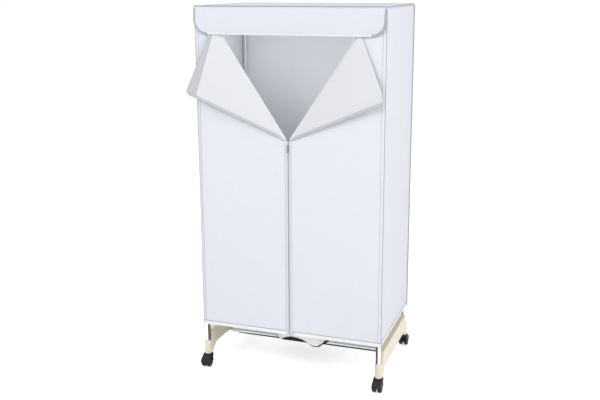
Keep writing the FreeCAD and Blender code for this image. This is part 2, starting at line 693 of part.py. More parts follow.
def flapTurn(sign):
    # local Z runs up the fold, local X across the folded flap, local Y off the front on the left side
    sine, cosine = foldDirection()
    along = Vector(sign * sine, 0, cosine)
    across = Vector(sign * cosine, 0, -sine)
    lift = Rotation(Vector(0, 0, 1), -sign * num("Sizes.flapAngle"))
    return Rotation(across, along.cross(across), along, "XYZ").multiply(lift)


def makeFlap(side, sign):
    # the corner that the open zip frees, with the roll in which it folds back
    sine, cosine = (f"{value:.9f}" for value in foldDirection())
    low = "Sizes.zipWidth"
    edge = "(Places.valanceBottom - Sizes.openHeight - Sizes.cloth)"
    flap = newBody(f"flap_{side}")
    put(flap, "0", "Places.foldY", "Sizes.openHeight", flapTurn(sign))
    sketch = newSketch(flap, "XZ_Plane", f"{sign} * Sizes.cloth - {1 if sign < 0 else 0} * Sizes.cloth")
    outline(sketch, [
        ("0", f"{low} / {cosine}"),
        (f"{edge} * {sine}", f"{edge} * {cosine}"),
        ("0", f"{edge} / {cosine}"),
    ])
    pad(flap, sketch, "Sizes.cloth")
    roll = newSketch(flap, "XY_Plane", f"{low} / {cosine}")
    circle(roll, "0", "0", "Sizes.foldRadius")
    pad(flap, roll, f"({edge} - {low}) / {cosine}")


def makeFlapHem(side, sign):
    # strip beyond the flap's top edge, of two layers where it is turned under
    sine, cosine = (f"{value:.9f}" for value in foldDirection())
    reach = "(Places.valanceBottom - Sizes.openHeight)"
    near = f"({reach} - Sizes.cloth + Sizes.runningFit)"
    strip = "Sizes.flapStrip" if sign < 0 else "Sizes.turnedStrip"
    far = f"({near} + {strip})"
    span = f"(Sizes.foldHalfWidth * (1 - {strip} / {reach}))"
    hem = newBody(f"flap_{side}_hem")
    put(hem, "0", "Places.foldY", "Sizes.openHeight", flapTurn(sign))
    sketch = newSketch(hem, "XZ_Plane", "-2 * Sizes.cloth" if sign < 0 else "0")
    outline(sketch, [
        (f"{near} * {sine}", f"{near} * {cosine}"),
        (f"{far} * {sine}", f"{far} * {cosine}"),
        (f"{far} * {sine} - {span} * {cosine}", f"{far} * {cosine} + {span} * {sine}"),
        (f"{near} * {sine} - {span} * {cosine}", f"{near} * {cosine} + {span} * {sine}"),
    ])
    pad(hem, sketch, "Sizes.cloth" if sign < 0 else "2 * Sizes.cloth")


def makeFloorPanel():
    panel = newBody("cover_floor")
    halfX, halfY = "(Sizes.coverWidth / 2 - Sizes.cloth)", "(Sizes.coverDepth / 2 - Sizes.cloth)"
    sheet = newSketch(panel, "XY_Plane", "Sizes.floorSeam")
    box(sheet, f"-{halfX}", f"-{halfY}", halfX, halfY)
    pad(panel, sheet, "Sizes.cloth")
    openings = newSketch(panel, "XY_Plane", "Sizes.floorSeam")
    for corner, signX, signY in CORNERS:
        circle(openings, f"{signX} * Places.postX", f"{signY} * Places.postY",
               "Places.tubeRadius + Sizes.tubeFit")
    roundedBox(openings, "Sizes.clothGap")
    pocket(panel, openings, "Sizes.cloth", backwards=True)


def roundedBox(sketch, grow="0"):
    # the heater's plan, set out or in by the given amount
    w = f"(Sizes.heaterWidth / 2 + {grow})"
    d = f"(Sizes.heaterDepth / 2 + {grow})"
    r = f"(Sizes.heaterCorner + {grow})"
    outline(sketch, [
        (f"{r} - {w}", f"-{d}"),
        (f"{w} - {r}", f"-{d}", r),
        (w, f"{r} - {d}"),
        (w, f"{d} - {r}", r),
        (f"{w} - {r}", d),
        (f"{r} - {w}", d, r),
        (f"-{w}", f"{d} - {r}"),
        (f"-{w}", f"{r} - {d}", r),
    ])


def makePiping():
    # cord round the cover's top edge and down its four corners
    radius = "Sizes.pipingRadius"
    width, depth = "Sizes.coverWidth", "Sizes.coverDepth"
    runs = []
    for sign in (-1, 1):
        y, x = f"{sign} * ({depth} / 2 + {radius})", f"{sign} * ({width} / 2 + {radius})"
        runs.append(cylinder(radius, width, f"-{width} / 2", y, "Places.pipingZ", ALONG_X))
        runs.append(cylinder(radius, depth, x, f"-{depth} / 2", "Places.pipingZ", ALONG_Y))
        for end in (-1, 1):
            runs.append(cylinder(radius, f"Places.pipingZ - {radius} - Sizes.hemHeight", x,
                                 f"{end} * ({depth} / 2 - {radius})", "Sizes.hemHeight"))
    group(runs, "cover_piping")


def makeValance():
    # hangs in a shallow curve from the front top edge
    valance = newBody("valance")
    back, low, top = "Places.valanceY", "Places.valanceBottom", "Sizes.coverHeight"
    section = newSketch(valance, "YZ_Plane")
    outline(section, [
        (back, top),
        (f"{back} - Sizes.cloth", top, "Sizes.valanceBend"),
        (f"{back} - Sizes.cloth - Sizes.valanceFlare", low),
        (f"{back} - Sizes.valanceFlare", low, "-Sizes.valanceBend"),
    ])
    pad(valance, section, "Sizes.coverWidth + 2 * Sizes.valanceOverhang", midplane=True)
    lowest = num(low)
    fillet(valance, lambda edge: runsAlong(edge, (0, 1, 0)) and isNear(edge.CenterOfMass.z, lowest),
           "Sizes.valanceCorner")


def makeZip():
    front = "-Sizes.coverDepth / 2 - Sizes.zipBulge"
    top = "Sizes.openHeight - Sizes.zipWidth / 2"
    chain = block("Sizes.zipWidth", "Sizes.cloth + Sizes.zipBulge", f"{top} - Sizes.hemHeight",
                  "-Sizes.zipWidth / 2", front, "Sizes.hemHeight")
    node(chain, "zip_chain")
    gap = "Sizes.runningFit"
    pivot = "Sizes.pivotReach"
    sliderTop = f"{top} - Sizes.zipWidth"
    face = f"({front} - {gap} - Sizes.sliderThickness)"
    slider = newBody("zip_slider")
    put(slider, "0", face, sliderTop)
    plate = newSketch(slider, "XZ_Plane")
    w, tail, l = "Sizes.sliderWidth / 2", "Sizes.sliderTail / 2", "Sizes.sliderLength"
    outline(plate, [
        (f"-{tail}", f"-{l}"),
        (tail, f"-{l}"),
        (w, "0"),
        (f"-{w}", "0"),
    ])
    pad(slider, plate, "Sizes.sliderThickness", backwards=True)
    # two lugs in front of the plate carry a crossbar for the pull
    lugs = newSketch(slider, "XZ_Plane")
    lug = "Sizes.pullThickness"
    for sign in (-1, 1):
        near, far = f"{sign} * (Sizes.pullWidth / 4)", f"{sign} * (Sizes.pullWidth / 4 + {lug})"
        box(lugs, near, f"-{l} / 2 - {lug}", far, f"-{l} / 2 + {lug}")
    pad(slider, lugs, f"2 * {pivot}")
    bar = newSketch(slider, "YZ_Plane")
    circle(bar, f"-({pivot})", f"-{l} / 2", "Sizes.pullThickness / 2")
    pad(slider, bar, f"2 * (Sizes.pullWidth / 4 + {lug} / 2)", midplane=True)
    pull = newBody("zip_pull")
    put(pull, "0", f"{face} - ({pivot})", f"{sliderTop} - {l} / 2")
    eye = newSketch(pull, "YZ_Plane")
    circle(eye, "0", "0", "Sizes.pullThickness")
    pad(pull, eye, f"Sizes.pullWidth / 2 - 2 * {gap}", midplane=True)
    tab = newSketch(pull, "XZ_Plane")
    outline(tab, [
        (f"-(Sizes.pullWidth / 4 - {gap})", "0"),
        (f"-(Sizes.pullWidth / 4 - {gap})", "-Sizes.pullNeck"),
        ("-Sizes.pullWidth / 2", "-Sizes.pullShoulder"),
        ("-Sizes.pullWidth / 2", "-Sizes.pullLength"),
        ("Sizes.pullWidth / 2", "-Sizes.pullLength"),
        ("Sizes.pullWidth / 2", "-Sizes.pullShoulder"),
        (f"Sizes.pullWidth / 4 - {gap}", "-Sizes.pullNeck"),
        (f"Sizes.pullWidth / 4 - {gap}", "0"),
    ])
    pad(pull, tab, "Sizes.pullThickness", midplane=True)
    hole = newSketch(pull, "YZ_Plane")
    circle(hole, "0", "0", "Sizes.pullThickness / 2 + Sizes.runningFit")
    pocket(pull, hole, "Sizes.pullWidth", midplane=True)


# ---------------------------------------------------------------- heater

def makeTray():
    tray = newBody("heater_base")
    put(tray, z="Places.trayZ")
    plan = newSketch(tray, "XY_Plane")
    roundedBox(plan, "(-Sizes.heaterWall)")
    pad(tray, plan, "Sizes.trayHeight")
    well = newSketch(tray, "XY_Plane", "Sizes.trayFloor")
    roundedBox(well, "(-2 * Sizes.heaterWall)")
    pocket(tray, well, "Sizes.trayHeight", backwards=True)
    saddles = newSketch(tray, "YZ_Plane")
    for end in (-1, 1):
        circle(saddles, f"{end} * Places.crossY", "-Sizes.saddleRise", "Places.tubeRadius")
    pocket(tray, saddles, "2 * Sizes.heaterWidth", midplane=True)
    intake = newSketch(tray, "XY_Plane")
    pitch = "(2 * (Places.crossY - Sizes.tubeDiameter) / Sizes.intakeSlots)"
    for index in range(round(num("Sizes.intakeSlots"))):
        low = f"Sizes.tubeDiameter - Places.crossY + {index} * {pitch}"
        box(intake, "-Sizes.intakeWidth / 2", low, "Sizes.intakeWidth / 2", f"{low} + Sizes.slotWidth")
    pocket(tray, intake, "Sizes.trayHeight", backwards=True)


def makeShell():
    shell = newBody("heater_shell")
    put(shell, z="Places.trayZ")
    plan = newSketch(shell, "XY_Plane", "-Sizes.lobeDrop")
    roundedBox(plan)
    pad(shell, plan, "Sizes.heaterHeight + Sizes.lobeDrop")
    highest = num("Sizes.heaterHeight")
    fillet(shell, lambda edge: isNear(edge.BoundBox.ZMin, highest) and isNear(edge.BoundBox.ZLength, 0),
           "Sizes.heaterShoulder")
    cavity = newSketch(shell, "XY_Plane", "-Sizes.lobeDrop")
    roundedBox(cavity, "(-Sizes.heaterWall)")
    pocket(shell, cavity, "Sizes.heaterHeight + Sizes.lobeDrop - Sizes.heaterShoulder", backwards=True)
    # side and back edges stop above the cross tubes; only the front lip hangs in front of them
    edge = newSketch(shell, "YZ_Plane")
    box(edge, "Sizes.lipDepth - Sizes.heaterDepth / 2", "-2 * Sizes.lobeDrop",
        "Sizes.heaterDepth", "Sizes.sideClear")
    pocket(shell, edge, "2 * Sizes.heaterWidth", midplane=True)
    lip = newSketch(shell, "XZ_Plane")
    side = "(Sizes.heaterWidth / 2 + Sizes.lipDepth)"
    outline(lip, [
        (f"-{side}", "-2 * Sizes.lobeDrop"),
        (side, "-2 * Sizes.lobeDrop"),
        (side, "Sizes.lipRise"),
        ("Sizes.lobeEnd", "Sizes.lipRise", "-Sizes.lobeRadius"),
        ("Sizes.waveSlope", "0", "Sizes.slopeRadius"),
        ("-Sizes.waveSlope", "Sizes.crestRise", "Sizes.crestRadius"),
        ("-Sizes.crestStart", "0"),
        ("-Sizes.lobeEnd", "Sizes.lipRise"),
        (f"-{side}", "Sizes.lipRise"),
    ])
    pocket(shell, lip, backwards=True)
    seat = newSketch(shell, "XY_Plane", "Sizes.heaterHeight")
    circle(seat, "0", "0", "Sizes.grilleDiameter / 2 + Sizes.seatGap")
    pocket(shell, seat, "Sizes.grilleThickness")
    outlet = newSketch(shell, "XY_Plane", "Sizes.heaterHeight")
    circle(outlet, "0", "0", "Sizes.grilleDiameter / 2 - Sizes.heaterWall")
    pocket(shell, outlet, "2 * Sizes.heaterShoulder")
    spindle = newSketch(shell, "XZ_Plane")
    circle(spindle, "0", "Sizes.knobRise", "Sizes.knobShaft / 2 + Sizes.runningFit")
    pocket(shell, spindle, backwards=True)
    window = newSketch(shell, "XZ_Plane")
    box(window, "-Sizes.inletWidth / 2", "Sizes.inletRise - Sizes.inletHeight / 2",
        "Sizes.inletWidth / 2", "Sizes.inletRise + Sizes.inletHeight / 2")
    pocket(shell, window)


def radialSlot(body, inner, outer, count):
    sketch = newSketch(body, "XY_Plane", "Sizes.grilleThickness")
    box(sketch, inner, "-Sizes.slotWidth / 2", outer, "Sizes.slotWidth / 2")
    slot = pocket(body, sketch)
    pattern = body.newObject("PartDesign::PolarPattern", "Slots")
    pattern.Originals = [slot]
    pattern.Axis = (sketch, ["N_Axis"])
    pattern.Angle = 360
    pattern.Occurrences = round(num(count))
    body.Tip = pattern


def makeGrille():
    grille = newBody("heater_grille")
    put(grille, z="Places.heaterTop - Sizes.grilleThickness")
    disc = newSketch(grille, "XY_Plane")
    circle(disc, "0", "0", "Sizes.grilleDiameter / 2")
    pad(grille, disc, "Sizes.grilleThickness")
    ring, bar = "Sizes.grilleRing / 2", "Sizes.grilleBar"
    radialSlot(grille, "Sizes.grilleHub / 2", f"{ring} - {bar} / 2", "Sizes.innerSlots")
    radialSlot(grille, f"{ring} + {bar} / 2", f"Sizes.grilleDiameter / 2 - {bar}", "Sizes.outerSlots")


def makeMotor():
    base = "Places.trayZ + Sizes.trayFloor"
    case = cylinder("Sizes.motorDiameter / 2", "Sizes.motorHeight", z=base)
    bearing = cylinder("Sizes.shaftDiameter / 2 + Sizes.runningFit", "Sizes.shaftLength + Sizes.fanGap",
                       z=f"{base} + Sizes.motorHeight - Sizes.shaftLength - Sizes.fanGap")
    node(cut(case, bearing), "heater_motor")


def makeFan():
    base = "(Places.trayZ + Sizes.trayFloor + Sizes.motorHeight + Sizes.fanGap)"
    hub = cylinder("Sizes.fanHub / 2", "Sizes.fanHeight", z=base)
    shaft = cylinder("Sizes.shaftDiameter / 2", "Sizes.shaftLength", z=f"{base} - Sizes.shaftLength")
    blades = []
    count = round(num("Sizes.fanBlades"))
    for index in range(count):
        turn = Rotation(Vector(0, 0, 1), 360 * index / count)
        tilt = turn.multiply(Rotation(Vector(1, 0, 0), num("Sizes.bladeAngle")))
        blade = block("Sizes.fanDiameter / 2 - Sizes.fanHub / 2 + Sizes.fanGap", "Sizes.bladeChord",
                      "Sizes.bladeThickness")
        root = num("Sizes.fanHub / 2 - Sizes.fanGap")
        middle = tilt.multVec(Vector(root, -num("Sizes.bladeChord") / 2, -num("Sizes.bladeThickness") / 2))
        put(blade, f"{middle.x:.6f}", f"{middle.y:.6f}",
            f"{base} + Sizes.fanHeight / 2 + ({middle.z:.6f})", tilt)
        blades.append(blade)
    rim = cylinder("Sizes.fanDiameter / 2", "3 * Sizes.fanHeight", z=f"{base} - Sizes.fanHeight")
    sweep = doc.addObject("Part::Common", "Sweep")
    sweep.Base = fuse([hub] + blades)
    sweep.Tool = rim
    node(fuse([sweep, shaft]), "heater_fan")


def makeElement():
    element = newBody("heater_element")
    put(element, z="Places.trayZ + Sizes.trayFloor")
    half = "Sizes.elementSize / 2"
    legs = newSketch(element, "XY_Plane")
    for signX in (-1, 1):
        for signY in (-1, 1):
            box(legs, f"{signX} * ({half})", f"{signY} * ({half})",
                f"{signX} * ({half} - Sizes.elementLeg)", f"{signY} * ({half} - Sizes.elementLeg)")
    rise = "Sizes.motorHeight + Sizes.fanHeight + 3 * Sizes.fanGap"
    pad(element, legs, f"{rise} + Sizes.elementHeight")
    frame = newSketch(element, "XY_Plane", rise)
    box(frame, f"-({half})", f"-({half})", half, half)
    hole = f"({half} - Sizes.elementWall)"
    box(frame, f"-{hole}", f"-{hole}", hole, hole)
    pad(element, frame, "Sizes.elementHeight")
    fins = newSketch(element, "XY_Plane", rise)
    count = round(num("Sizes.elementFins"))
    for index in range(count):
        middle = f"({index + 1} / {count + 1} - 0.5) * Sizes.elementSize"
        box(fins, f"-{half}", f"{middle} - Sizes.finThickness / 2",
            half, f"{middle} + Sizes.finThickness / 2")
    pad(element, fins, "Sizes.elementHeight")


def makeKnob():
    face = "(-Sizes.heaterDepth / 2 - Sizes.knobGap)"
    z = "Places.trayZ + Sizes.knobRise"
    disc = cylinder("Sizes.knobDiameter / 2", "Sizes.knobHeight / 2", y=f"{face} - Sizes.knobHeight / 2", z=z,
                    rotation=ALONG_Y)
    shaft = cylinder("Sizes.knobShaft / 2", "Sizes.knobReach", y=face, z=z, rotation=ALONG_Y)
    grip = block("Sizes.gripWidth", "Sizes.knobHeight", "Sizes.knobDiameter - 2 * Sizes.knobGap",
                 "-Sizes.gripWidth / 2", f"{face} - Sizes.knobHeight",
                 f"{z} - Sizes.knobDiameter / 2 + Sizes.knobGap")
    node(fuse([disc, shaft, grip]), "timer_knob")


def makeInlet():
    inlet = newBody("heater_inlet")
    put(inlet, y="Sizes.heaterDepth / 2", z="Places.trayZ + Sizes.inletRise")
    w, h = "Sizes.inletWidth / 2", "Sizes.inletHeight / 2"
    body = newSketch(inlet, "XZ_Plane")
    box(body, f"-{w}", f"-{h}", w, h)
    pad(inlet, body, "Sizes.inletDepth")
    flange = newSketch(inlet, "XZ_Plane")
    box(flange, f"-{w} - Sizes.inletFlange", f"-{h} - Sizes.inletFlange",
        f"{w} + Sizes.inletFlange", f"{h} + Sizes.inletFlange")
    pad(inlet, flange, "Sizes.inletFlange", backwards=True)
    socket = newSketch(inlet, "XZ_Plane", "-Sizes.inletFlange")
    box(socket, f"-{w} + Sizes.inletFlange", f"-{h} + 2 * Sizes.inletFlange",
        f"{w} - Sizes.inletFlange", f"{h} - 2 * Sizes.inletFlange")
    pocket(inlet, socket, "Sizes.inletRecess", backwards=True)
    pins = newSketch(inlet, "XZ_Plane", "Sizes.inletRecess - Sizes.inletFlange")
    for sign in (-1, 1):
        circle(pins, f"{sign} * Sizes.pinSpacing / 2", "0", "Sizes.pinDiameter / 2")
    pad(inlet, pins, "Sizes.inletRecess - Sizes.inletFlange", backwards=True)


def makeHeater():
    makeTray()
    makeShell()
    makeGrille()
    makeMotor()
    makeFan()
    makeElement()
    makeKnob()
    makeInlet()


makePosts()
makeJoiners()
makeTopCorners()
makeTopTubes()
makeTees()
makeFeet()
makeCastors()
makePanels()
makeFloorPanel()
makePiping()
makeValance()
for side, sign in SIDES:
    makeFrontPanel(side, sign)
    makeFlap(side, sign)
    makeFlapHem(side, sign)
makeZip()
makeHeater()

# ---------------------------------------------------------------- export

doc.recompute()
for item in doc.Objects:
    if "Invalid" in item.State or "Error" in item.State:
        raise RuntimeError(f"{item.Label} failed: {item.State}")
os.makedirs("parts", exist_ok=True)
for item in nodes:
    shape = item.Shape
    if shape.isNull() or not shape.isValid():
        raise RuntimeError(f"{item.Label} has no valid shape")
    shape.exportStep(f"parts/{item.Label}.step")
    print(f"{item.Label}: {len(shape.Solids)} solid(s), {shape.Volume / 1000:.2f} cm3")
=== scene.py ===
import json
import math
import bpy
import numpy as np
from mathutils import Matrix, Vector


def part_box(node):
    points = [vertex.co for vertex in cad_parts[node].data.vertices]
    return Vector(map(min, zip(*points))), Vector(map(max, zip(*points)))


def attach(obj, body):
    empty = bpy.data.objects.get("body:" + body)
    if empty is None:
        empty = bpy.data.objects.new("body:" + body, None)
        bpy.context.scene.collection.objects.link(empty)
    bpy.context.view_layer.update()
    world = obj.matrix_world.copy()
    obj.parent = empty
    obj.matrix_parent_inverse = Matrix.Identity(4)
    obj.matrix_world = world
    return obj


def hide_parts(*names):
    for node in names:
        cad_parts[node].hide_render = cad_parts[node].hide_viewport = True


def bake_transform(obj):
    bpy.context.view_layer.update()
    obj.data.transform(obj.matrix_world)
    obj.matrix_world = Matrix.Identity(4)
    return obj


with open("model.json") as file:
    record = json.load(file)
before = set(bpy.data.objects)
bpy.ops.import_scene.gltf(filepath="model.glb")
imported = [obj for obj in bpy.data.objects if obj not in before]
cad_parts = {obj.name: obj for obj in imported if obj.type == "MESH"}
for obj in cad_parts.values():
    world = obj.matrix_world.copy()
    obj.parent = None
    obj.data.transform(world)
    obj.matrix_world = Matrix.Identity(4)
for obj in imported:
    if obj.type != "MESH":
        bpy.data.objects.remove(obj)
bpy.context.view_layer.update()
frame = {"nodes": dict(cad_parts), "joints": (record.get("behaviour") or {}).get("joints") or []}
joints = {joint["name"]: joint for joint in frame["joints"]}
scene = bpy.context.scene
print("frame loaded:", len(frame["nodes"]), "nodes")

# measures of the cover, read from the frame
coverLow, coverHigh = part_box("cover_top")
halfWidth, halfDepth, coverTop = coverHigh.x, coverHigh.y, coverHigh.z
cloth = coverHigh.z - coverLow.z
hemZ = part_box("cover_side_left")[0].z
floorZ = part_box("cover_floor")[0].z
valanceLow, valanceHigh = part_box("valance")
postRadius = (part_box("post_upper_front_left")[1].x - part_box("post_upper_front_left")[0].x) / 2
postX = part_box("post_upper_front_right")[1].x - postRadius
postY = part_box("post_upper_back_right")[1].y - postRadius
tip = Vector(joints["flap_left_fold"]["pos_m"])
foldSine = abs(joints["flap_left_fold"]["axis"][0])
foldCosine = abs(joints["flap_left_fold"]["axis"][2])
flapAngle = math.radians(180 - joints["flap_left_fold"]["range_deg"][1])


# finishes

def newGroup(name, inputs, outputs):
    tree = bpy.data.node_groups.new(name, "ShaderNodeTree")
    for label, kind, value in inputs:
        socket = tree.interface.new_socket(label, in_out="INPUT", socket_type=kind)
        if value is not None:
            socket.default_value = value
    for label, kind in outputs:
        tree.interface.new_socket(label, in_out="OUTPUT", socket_type=kind)
    return tree, tree.nodes.new("NodeGroupInput"), tree.nodes.new("NodeGroupOutput")


def mathNode(tree, operation, first, second=None, third=None):
    node = tree.nodes.new("ShaderNodeMath")
    node.operation = operation
    for index, value in enumerate((first, second, third)):
        if value is None:
            continue
        if isinstance(value, (int, float)):
            node.inputs[index].default_value = value
        else:
            tree.links.new(value, node.inputs[index])
    return node.outputs[0]


def noiseNode(tree, vector, scale, detail=3, roughness=0.5):
    node = tree.nodes.new("ShaderNodeTexNoise")
    node.inputs["Detail"].default_value = detail
    node.inputs["Roughness"].default_value = roughness
    tree.links.new(vector, node.inputs["Vector"])
    if isinstance(scale, (int, float)):
        node.inputs["Scale"].default_value = scale
    else:
        tree.links.new(scale, node.inputs["Scale"])
    return node.outputs["Fac"]


def makeWeaveGroup():
    # plain weave with slack in the cloth; heights are in metres
    tree, entry, result = newGroup("Plain weave", [
        ("Vector", "NodeSocketVector", None), ("Threads", "NodeSocketFloat", 900),
        ("Thread Height", "NodeSocketFloat", 0.00003), ("Crumple Scale", "NodeSocketFloat", 9),
        ("Crumple Height", "NodeSocketFloat", 0.0008)],
        [("Height", "NodeSocketFloat"), ("Mottle", "NodeSocketFloat"), ("Thread", "NodeSocketFloat")])
    split = tree.nodes.new("ShaderNodeSeparateXYZ")
    tree.links.new(entry.outputs["Vector"], split.inputs[0])
    turns = mathNode(tree, "MULTIPLY", entry.outputs["Threads"], math.pi)
    warp = mathNode(tree, "SINE", mathNode(tree, "MULTIPLY", split.outputs[0], turns))
    weft = mathNode(tree, "SINE", mathNode(tree, "MULTIPLY", split.outputs[1], turns))
    thread = mathNode(tree, "MULTIPLY_ADD", mathNode(tree, "MULTIPLY", warp, weft), 0.5, 0.5)
    crumple = noiseNode(tree, entry.outputs["Vector"], entry.outputs["Crumple Scale"], 2, 0.4)
    height = mathNode(tree, "MULTIPLY_ADD", thread, entry.outputs["Thread Height"],
                      mathNode(tree, "MULTIPLY", crumple, entry.outputs["Crumple Height"]))
    mottle = noiseNode(tree, entry.outputs["Vector"], 35, 4, 0.6)
    tree.links.new(height, result.inputs["Height"])
    tree.links.new(mottle, result.inputs["Mottle"])
    tree.links.new(thread, result.inputs["Thread"])
    return tree


def makeWearGroup():
    # handling marks: a grain in the surface, smudges and a little dust in the low places
    tree, entry, result = newGroup("Handling wear", [
        ("Vector", "NodeSocketVector", None), ("Smudge Scale", "NodeSocketFloat", 30),
        ("Grain Scale", "NodeSocketFloat", 900), ("Low Roughness", "NodeSocketFloat", 0.3),
        ("High Roughness", "NodeSocketFloat", 0.45), ("Dust Height", "NodeSocketFloat", 0.06)],
        [("Roughness", "NodeSocketFloat"), ("Grain", "NodeSocketFloat"), ("Dust", "NodeSocketFloat"),
         ("Smudge", "NodeSocketFloat")])
    smudge = noiseNode(tree, entry.outputs["Vector"], entry.outputs["Smudge Scale"], 4, 0.6)
    grain = noiseNode(tree, entry.outputs["Vector"], entry.outputs["Grain Scale"], 2, 0.5)
    span = mathNode(tree, "SUBTRACT", entry.outputs["High Roughness"], entry.outputs["Low Roughness"])
    rough = mathNode(tree, "MULTIPLY_ADD", smudge, span, entry.outputs["Low Roughness"])
    split = tree.nodes.new("ShaderNodeSeparateXYZ")
    tree.links.new(entry.outputs["Vector"], split.inputs[0])
    climb = mathNode(tree, "DIVIDE", split.outputs[2], entry.outputs["Dust Height"])
    low = mathNode(tree, "SUBTRACT", 1, climb)
    floating = mathNode(tree, "MULTIPLY", mathNode(tree, "MAXIMUM", low, 0), smudge)
    tree.links.new(rough, result.inputs["Roughness"])
    tree.links.new(grain, result.inputs["Grain"])
    tree.links.new(floating, result.inputs["Dust"])
    tree.links.new(smudge, result.inputs["Smudge"])
    return tree


weaveGroup = makeWeaveGroup()
wearGroup = makeWearGroup()


def newMaterial(name):
    material = bpy.data.materials.new(name)
    material.use_nodes = True
    tree = material.node_tree
    return material, tree, tree.nodes["Principled BSDF"]


def mixColour(tree, amount, first, second):
    mix = tree.nodes.new("ShaderNodeMix")
    mix.data_type = "RGBA"
    tree.links.new(amount, mix.inputs["Factor"])
    mix.inputs["A"].default_value = (*first, 1)
    if isinstance(second, tuple):
        mix.inputs["B"].default_value = (*second, 1)
    else:
        tree.links.new(second, mix.inputs["B"])
    return mix.outputs["Result"]


def bumpInto(tree, shader, height, distance=1.0, strength=1.0):
    bump = tree.nodes.new("ShaderNodeBump")
    bump.inputs["Distance"].default_value = distance
    bump.inputs["Strength"].default_value = strength
    tree.links.new(height, bump.inputs["Height"])
    tree.links.new(bump.outputs[0], shader.inputs["Normal"])


def clothMaterial(name, pale, dark, threads=900, threadHeight=0.00003, crumpleHeight=0.0008,
                  crumpleScale=9, roughness=0.8, sheen=0.1):
    material, tree, shader = newMaterial(name)
    place = tree.nodes.new("ShaderNodeUVMap")
    place.uv_map = "cut"
    weave = tree.nodes.new("ShaderNodeGroup")
    weave.node_tree = weaveGroup
    weave.inputs["Threads"].default_value = threads
    weave.inputs["Thread Height"].default_value = threadHeight
    weave.inputs["Crumple Scale"].default_value = crumpleScale
    weave.inputs["Crumple Height"].default_value = crumpleHeight
    tree.links.new(place.outputs[0], weave.inputs["Vector"])
    shade = mathNode(tree, "MULTIPLY_ADD", weave.outputs["Thread"], 0.25,
                     mathNode(tree, "MULTIPLY", weave.outputs["Mottle"], 0.75))
    tree.links.new(mixColour(tree, shade, dark, pale), shader.inputs["Base Color"])
    tree.links.new(mathNode(tree, "MULTIPLY_ADD", weave.outputs["Mottle"], 0.1, roughness - 0.05),
                   shader.inputs["Roughness"])
    shader.inputs["Sheen Weight"].default_value = sheen
    shader.inputs["Specular IOR Level"].default_value = 0.3
    bumpInto(tree, shader, weave.outputs["Height"])
    return material


def hardMaterial(name, colour, mark, roughness, metallic=0.0, grainScale=900, grainHeight=0.00002, coat=0.0,
                 specular=0.5, smudgeScale=30, dust=None, dustHeight=0.06):
    material, tree, shader = newMaterial(name)
    place = tree.nodes.new("ShaderNodeTexCoord")
    wear = tree.nodes.new("ShaderNodeGroup")
    wear.node_tree = wearGroup
    wear.inputs["Smudge Scale"].default_value = smudgeScale
    wear.inputs["Grain Scale"].default_value = grainScale
    wear.inputs["Low Roughness"].default_value = roughness[0]
    wear.inputs["High Roughness"].default_value = roughness[1]
    wear.inputs["Dust Height"].default_value = dustHeight
    tree.links.new(place.outputs["Object"], wear.inputs["Vector"])
    surface = mixColour(tree, wear.outputs["Smudge"], colour, mark)
    if dust:
        settled = tree.nodes.new("ShaderNodeMix")
        settled.data_type = "RGBA"
        settled.inputs["B"].default_value = (*dust, 1)
        tree.links.new(wear.outputs["Dust"], settled.inputs["Factor"])
        tree.links.new(surface, settled.inputs["A"])
        surface = settled.outputs["Result"]
    tree.links.new(surface, shader.inputs["Base Color"])
    tree.links.new(wear.outputs["Roughness"], shader.inputs["Roughness"])
    shader.inputs["Metallic"].default_value = metallic
    shader.inputs["Coat Weight"].default_value = coat
    shader.inputs["Specular IOR Level"].default_value = specular
    bumpInto(tree, shader, wear.outputs["Grain"], grainHeight)
    return material


tapeLook = {"threads": 1400, "crumpleHeight": 0.0}
coverFabric = clothMaterial("coverFabric", (0.80, 0.825, 0.885), (0.76, 0.785, 0.85))
# painted shade: the top uses a darker copy of the cover's cloth, so the duller light on the top is painted
# into its colour
shadedTopFabric = clothMaterial("shadedTopFabric", (0.755, 0.76, 0.81), (0.715, 0.72, 0.775), crumpleHeight=0.0015)
insideLining = clothMaterial("insideLining", (0.835, 0.85, 0.88), (0.80, 0.815, 0.845), roughness=0.6)
flapLining = clothMaterial("flapLining", (0.755, 0.77, 0.79), (0.72, 0.735, 0.755), roughness=0.55,
                           crumpleHeight=0.0025, crumpleScale=6)
turnedFabric = clothMaterial("turnedFabric", (0.56, 0.57, 0.60), (0.52, 0.53, 0.56), threads=700)
paleBorder = clothMaterial("paleBorder", (0.83, 0.85, 0.90), (0.79, 0.81, 0.865), threads=1400)
hemFabric = clothMaterial("hemFabric", (0.90, 0.91, 0.925), (0.87, 0.88, 0.90))
bindingTape = clothMaterial("bindingTape", (0.47, 0.48, 0.52), (0.42, 0.43, 0.47), **tapeLook)
paleTape = clothMaterial("paleTape", (0.60, 0.61, 0.63), (0.55, 0.56, 0.58), **tapeLook)
zipTapeFabric = clothMaterial("zipTapeFabric", (0.74, 0.755, 0.79), (0.70, 0.715, 0.75), **tapeLook)
borderTape = clothMaterial("borderTape", (0.47, 0.48, 0.52), (0.43, 0.44, 0.48), **tapeLook)
seamThread = clothMaterial("seamThread", (0.34, 0.35, 0.38), (0.30, 0.31, 0.34), threads=2000,
                           crumpleHeight=0.0)
valanceFabric = clothMaterial("valanceFabric", (0.755, 0.78, 0.85), (0.72, 0.745, 0.815))
zipTeethPlastic = hardMaterial("zipTeethPlastic", (0.50, 0.51, 0.54), (0.44, 0.45, 0.48), (0.3, 0.45))
chrome = hardMaterial("chromePlate", (0.86, 0.87, 0.88), (0.80, 0.81, 0.83), (0.05, 0.16), metallic=1.0,
                      grainHeight=0.000002)
creamPlastic = hardMaterial("creamPlastic", (0.85, 0.765, 0.615), (0.82, 0.735, 0.585), (0.32, 0.46),
                            grainHeight=0.00003)
connectorPlastic = hardMaterial("connectorPlastic", (0.78, 0.78, 0.78), (0.72, 0.72, 0.73), (0.4, 0.55))
